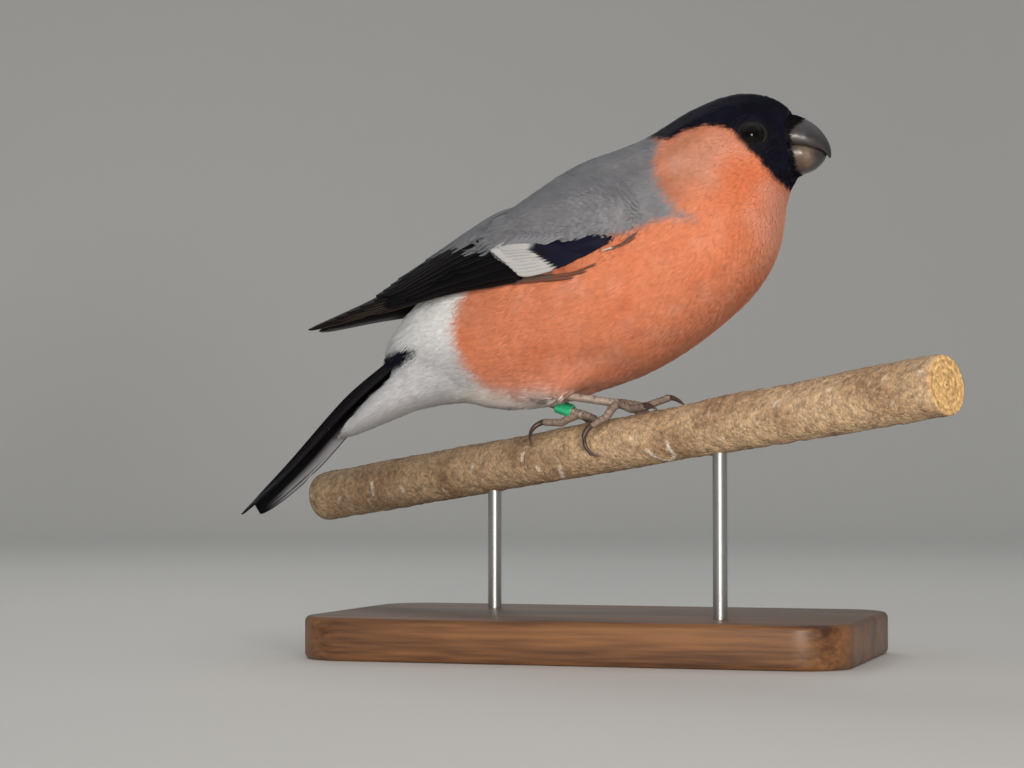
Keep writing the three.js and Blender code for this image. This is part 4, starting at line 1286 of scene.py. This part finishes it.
# Perch: a cut length of branch. Its bark is dry, matt and gritty, grey brown with dark pits and pale specks,
# and the cut ends show wood.
bark, tree = material("gritty_dry_bark", Specular_IOR_Level=0.2, Roughness=0.93)
spot = add(tree, "TexCoord", out="Object")
grit = add(tree, "TexNoise", {"Vector": spot, "Scale": 1 / (1.6 * MM), "Detail": 4.0, "Roughness": 0.6})
grains = add(tree, "TexVoronoi", {"Vector": spot, "Scale": 1 / (0.62 * MM)})
share = add(tree, "SeparateXYZ", {0: grains.node.outputs["Color"]})
specks = add(tree, "Math", {0: share, 1: 0.55, 2: grit}, operation="MULTIPLY_ADD")
pits = add(tree, "Math", {0: grains, 1: -1.0, 2: specks}, operation="MULTIPLY_ADD")
bump = add(tree, "Bump", {"Height": pits, "Strength": 0.5, "Distance": 0.3 * MM})
feed(tree, Base_Color=toned(tree, specks, 0.62, 1.34, 0.4, 1.15), Normal=bump)

END_SHARE = 0.035
# Scars where the bark is rubbed pale: lines over the perch [along in mm, around in radians]
SCARS = [
    [(23.6, -1.98), (23.4, -2.59), (20.8, -2.91), (19.4, -2.73), (18.2, -2.4), (17.3, -2.1)],
    [(-7.8, -2.18), (-10.7, -2.99)],
    [(-18.0, -1.38), (-18.4, -1.64)],
    [(-14.6, -2.05), (-14.4, -2.15)],
    [(-67.1, -1.48), (-67.4, -1.85)],
    [(-57.6, -1.94), (-57.4, -2.05)],
]


def scarred(along, around):
    """How strongly the bark is rubbed pale, from 0 to 1."""
    wide = 0.5 + 0.3 * cloud(on_perch(along, around, PERCH["radius"]), 1.6, 33.0)
    mark = np.zeros(len(along))
    for line in SCARS:
        for (a0, r0), (a1, r1) in zip(line, line[1:]):
            run, turn = a1 - a0, (r1 - r0) * PERCH["radius"]
            da = along - a0
            dr = ((around - r0 + math.pi) % TURN - math.pi) * PERCH["radius"]
            share = np.clip((da * run + dr * turn) / (run * run + turn * turn), 0, 1)
            mark = np.maximum(mark, ease(1.3, 0.4, np.hypot(da - share * run, dr - share * turn) / wide))
    return mark


def perch_spot(t, angle):
    """Where a point of the wrapped perch lies along it, and how far out, before it is roughened."""
    cut = np.minimum(t, 1 - t) / END_SHARE
    inner = (t - END_SHARE) / (1 - 2 * END_SHARE)
    along = PERCH["half"] * np.clip(2 * inner - 1, -1, 1)
    swell = SWELL["front"] * ease(20, 44, along) + SWELL["rear"] * ease(20, 44, -along)
    return along, (PERCH["radius"] + swell) * np.minimum(1, cut), cut


def perch_place(t, angle):
    along, out, cut = perch_spot(t, angle)
    around = angle - math.pi / 2
    spot = on_perch(along, around, out)
    rough = 0.3 * cloud(spot, 16.0, 1.0) + 0.2 * cloud(spot, 2.4, 5.0) + 0.13 * cloud(spot, 0.9, 9.0)
    on_bark = ease(0.9, 1.3, cut)
    saw = 0.06 * cloud(spot, 0.8, 13.0) * (1 - on_bark) * np.sign(along)
    rim = 0.25 * (on_bark - 1) * (cut > 0.97)
    return on_perch(along + saw, around, out + (rough - 0.12) * on_bark + rim)


def perch_tint(t, angle):
    along, out, cut = perch_spot(t, angle)
    spot = on_perch(along, angle, out)
    colour = mix(linear("a58d70"), linear("80664e"), 0.7 * ease(-0.2, 0.6, cloud(spot, 9.0, 61.0)))
    colour = mix(colour, linear("d3c8b6"), 0.3 * ease(0.42, 0.6, cloud(spot, 2.4, 19.0)))
    colour = mix(colour, linear("654d3c"), 0.4 * ease(0.3, 0.6, cloud(spot, 2.0, 23.0)))
    colour = mix(colour, linear("d9cfc0"), 0.8 * scarred(along, angle - math.pi / 2))
    # Darker towards the rear end of the perch, under the tail: painted shade
    colour = colour * (0.72 + 0.4 * ease(-60, 30, along))[:, None]
    rings = 0.5 + 0.5 * np.sin((out + 0.25 * cloud(spot, 4.0, 27.0)) * TURN / 0.75)
    wood = mix(linear("c9a877"), linear("9c7748"), 0.65 * rings)
    wood = mix(wood, linear("5d452c"), ease(0.5, 0.2, out))
    return mix(wood, colour, ease(0.93, 1.0, cut))


wrap("perch_branch", bark, ["perch"], 370, 70, perch_place, perch_tint)

# Stand: a flat base with rounded corners, and two rods
BASE = {"length": 116, "width": 66, "height": 9, "corner": 11, "bevel": 1.2}
ROD = {"radius": 1.5, "along": 33, "into_base": 5, "into_perch": 6}
# Base wood: dark stained hardwood, sanded and oiled; its grain runs along the base
base_wood, tree = material("oiled_dark_hardwood", Specular_IOR_Level=0.45, Coat_Weight=0.15,
                           Coat_Roughness=0.3)
spot = add(tree, "TexCoord", out="Object")
stretched = add(tree, "Mapping", {"Vector": spot, "Scale": (0.09, 1.0, 1.0)})
figure = add(tree, "TexNoise", {"Vector": stretched, "Scale": 1 / (7 * MM), "Detail": 3.0})
fine = add(tree, "Mapping", {"Vector": spot, "Scale": (0.05, 1.0, 1.0)})
pores = add(tree, "TexNoise", {"Vector": fine, "Scale": 1 / (0.8 * MM), "Detail": 3.0})
blend = add(tree, "Math", {0: figure, 1: 0.65}, operation="MULTIPLY")
blend = add(tree, "Math", {0: pores, 1: 0.35, 2: blend}, operation="MULTIPLY_ADD")
shades = add(tree, "ValToRGB", {"Fac": blend})
for stop, at, colour in zip(shades.node.color_ramp.elements, (0.38, 0.62), ("3b2417", "76502f")):
    stop.position = at
    stop.color = (*linear(colour), 1)
polish = add(tree, "MapRange", {"Value": pores, "To Min": 0.32, "To Max": 0.6})
bump = add(tree, "Bump", {"Height": pores, "Strength": 0.25, "Distance": 0.12 * MM})
feed(tree, Base_Color=shades, Roughness=polish, Normal=bump)
# Rod steel: drawn bar, brushed round by fine paper
rod_steel, tree = material("brushed_steel_rod", Metallic=1.0, Base_Color=(*linear("b9babb"), 1))
fine = add(tree, "Mapping", {"Vector": add(tree, "TexCoord", out="Object"), "Scale": (0.1, 0.1, 1.0)})
brushed = add(tree, "TexNoise", {"Vector": fine, "Scale": 1 / (0.25 * MM), "Detail": 2.0})
polish = add(tree, "MapRange", {"Value": brushed, "To Min": 0.25, "To Max": 0.5})
bump = add(tree, "Bump", {"Height": brushed, "Strength": 0.15, "Distance": 0.03 * MM})
feed(tree, Roughness=polish, Normal=bump)


def make_base():
    work = new_work()
    size = Matrix.Diagonal((BASE["length"] * MM, BASE["width"] * MM, BASE["height"] * MM, 1))
    bmesh.ops.create_cube(work, size=1, matrix=Matrix.Translation((0, 0, BASE["height"] / 2 * MM)) @ size)
    for upright, offset, segments in ((True, BASE["corner"], 14), (False, BASE["bevel"], 4)):
        chosen = [e for e in work.edges if (abs(e.verts[0].co.z - e.verts[1].co.z) > 1e-5) == upright]
        bmesh.ops.bevel(work, geom=chosen, offset=offset * MM, offset_type="OFFSET", segments=segments,
                        profile=0.5, affect="EDGES", material=-1)
    piece("stand_base_plate", work, base_wood, ["stand_base"])


def make_rod(name, along):
    under = on_perch(along, math.pi, PERCH["radius"])
    bottom = BASE["height"] - ROD["into_base"]
    top = under[2] + ROD["into_perch"]
    line = curve([(under[0], under[1], height) for height in (bottom, (bottom + top) / 2, top)])
    rod = tube(line, lambda t, angle: np.full(len(t), ROD["radius"]), up=(1, 0, 0))
    wrap(f"stand_{name}_rod", rod_steel, [f"stand_rod_{name}"], 24, 48, rod)


make_base()
make_rod("front", ROD["along"])
make_rod("rear", -ROD["along"])


# Camera, floor and light
def make_camera():
    turn, tilt = math.radians(SIGHT["turn"]), math.radians(SIGHT["tilt"])
    forward = Vector((-math.sin(turn) * math.cos(tilt), math.cos(turn) * math.cos(tilt), math.sin(tilt)))
    right = Vector((math.cos(turn), math.sin(turn), 0))
    across = (SIGHT["aim_px"][0] - IMAGE[0] / 2) / SIGHT["focal_px"]
    down = (SIGHT["aim_px"][1] - IMAGE[1] / 2) / SIGHT["focal_px"]
    ray = forward + right * across - right.cross(forward) * down
    data = bpy.data.cameras.new("camera")
    data.sensor_width = 36
    data.lens = data.sensor_width * SIGHT["focal_px"] / IMAGE[0]
    data.clip_start = 0.01
    camera = in_scene("camera", data)
    camera.location = (Vector(SIGHT["aim"]) - ray * SIGHT["far"]) * MM
    camera.rotation_euler = (math.pi / 2 + tilt, 0, turn)
    bpy.context.scene.camera = camera


def make_floor():
    """A pale floor that curves up all round into a wall far away."""
    bm = bmesh.new()
    wall, bend, height = 1.8, 0.7, 1.5
    turns = np.linspace(0.1, math.pi / 2, 12)
    profile = [(0, 0), (wall - bend, 0)]
    profile += [(wall - bend + bend * math.sin(a), bend - bend * math.cos(a)) for a in turns]
    profile.append((wall, height))
    line = [bm.verts.new((x, 0, z)) for x, z in profile]
    edges = [bm.edges.new(pair) for pair in zip(line, line[1:])]
    bmesh.ops.spin(bm, geom=line + edges, cent=(0, 0, 0), axis=(0, 0, 1), angle=TURN, steps=64,
                   use_merge=True)
    bmesh.ops.remove_doubles(bm, verts=bm.verts, dist=1e-6)
    bmesh.ops.recalc_face_normals(bm, faces=bm.faces)
    if sum(f.normal.z for f in bm.faces) < 0:
        bmesh.ops.reverse_faces(bm, faces=bm.faces)
    mesh = mesh_of("floor", bm)
    mesh.polygons.foreach_set("use_smooth", [True] * len(mesh.polygons))
    paint, _ = material("pale_painted_floor", Roughness=0.7, Base_Color=(*linear("d9d8d4"), 1))
    mesh.materials.append(paint)
    in_scene("floor", mesh)


def make_light(name, at, size, power, colour, mirrored=True, spread=80):
    """A soft disc lamp that faces the bird. One that isn't mirrored leaves no spot in eye and bill."""
    data = bpy.data.lights.new(name, "AREA")
    data.shape = "DISK"
    data.size = size
    data.energy = power
    data.color = linear(colour)
    data.spread = math.radians(spread)
    light = in_scene(name, data)
    light.visible_glossy = mirrored
    light.location = at
    light.rotation_euler = (Vector((0, 0, 0.08)) - Vector(at)).to_track_quat("-Z", "Y").to_euler()


make_camera()
make_floor()
make_light("key", (0.26, -1.0, 0.2), 0.34, 1.16, "fff4e8")
make_light("left_fill", (-0.6, -0.9, 0.15), 0.6, 0.44, "f4f6ff", mirrored=False)
make_light("low_fill", (0.42, -0.7, 0.08), 0.1, 0.185, "fff3ea", mirrored=False, spread=36)
make_light("rim", (-0.5, 0.8, 0.8), 0.6, 0.3, "ffffff")
world = bpy.data.worlds.new("studio")
world.use_nodes = True
sky = world.node_tree.nodes["Background"].inputs
sky["Color"].default_value = (0.9, 0.92, 0.95, 1)
sky["Strength"].default_value = 0.5
bpy.context.scene.world = world
bpy.context.scene.view_settings.view_transform = "Standard"
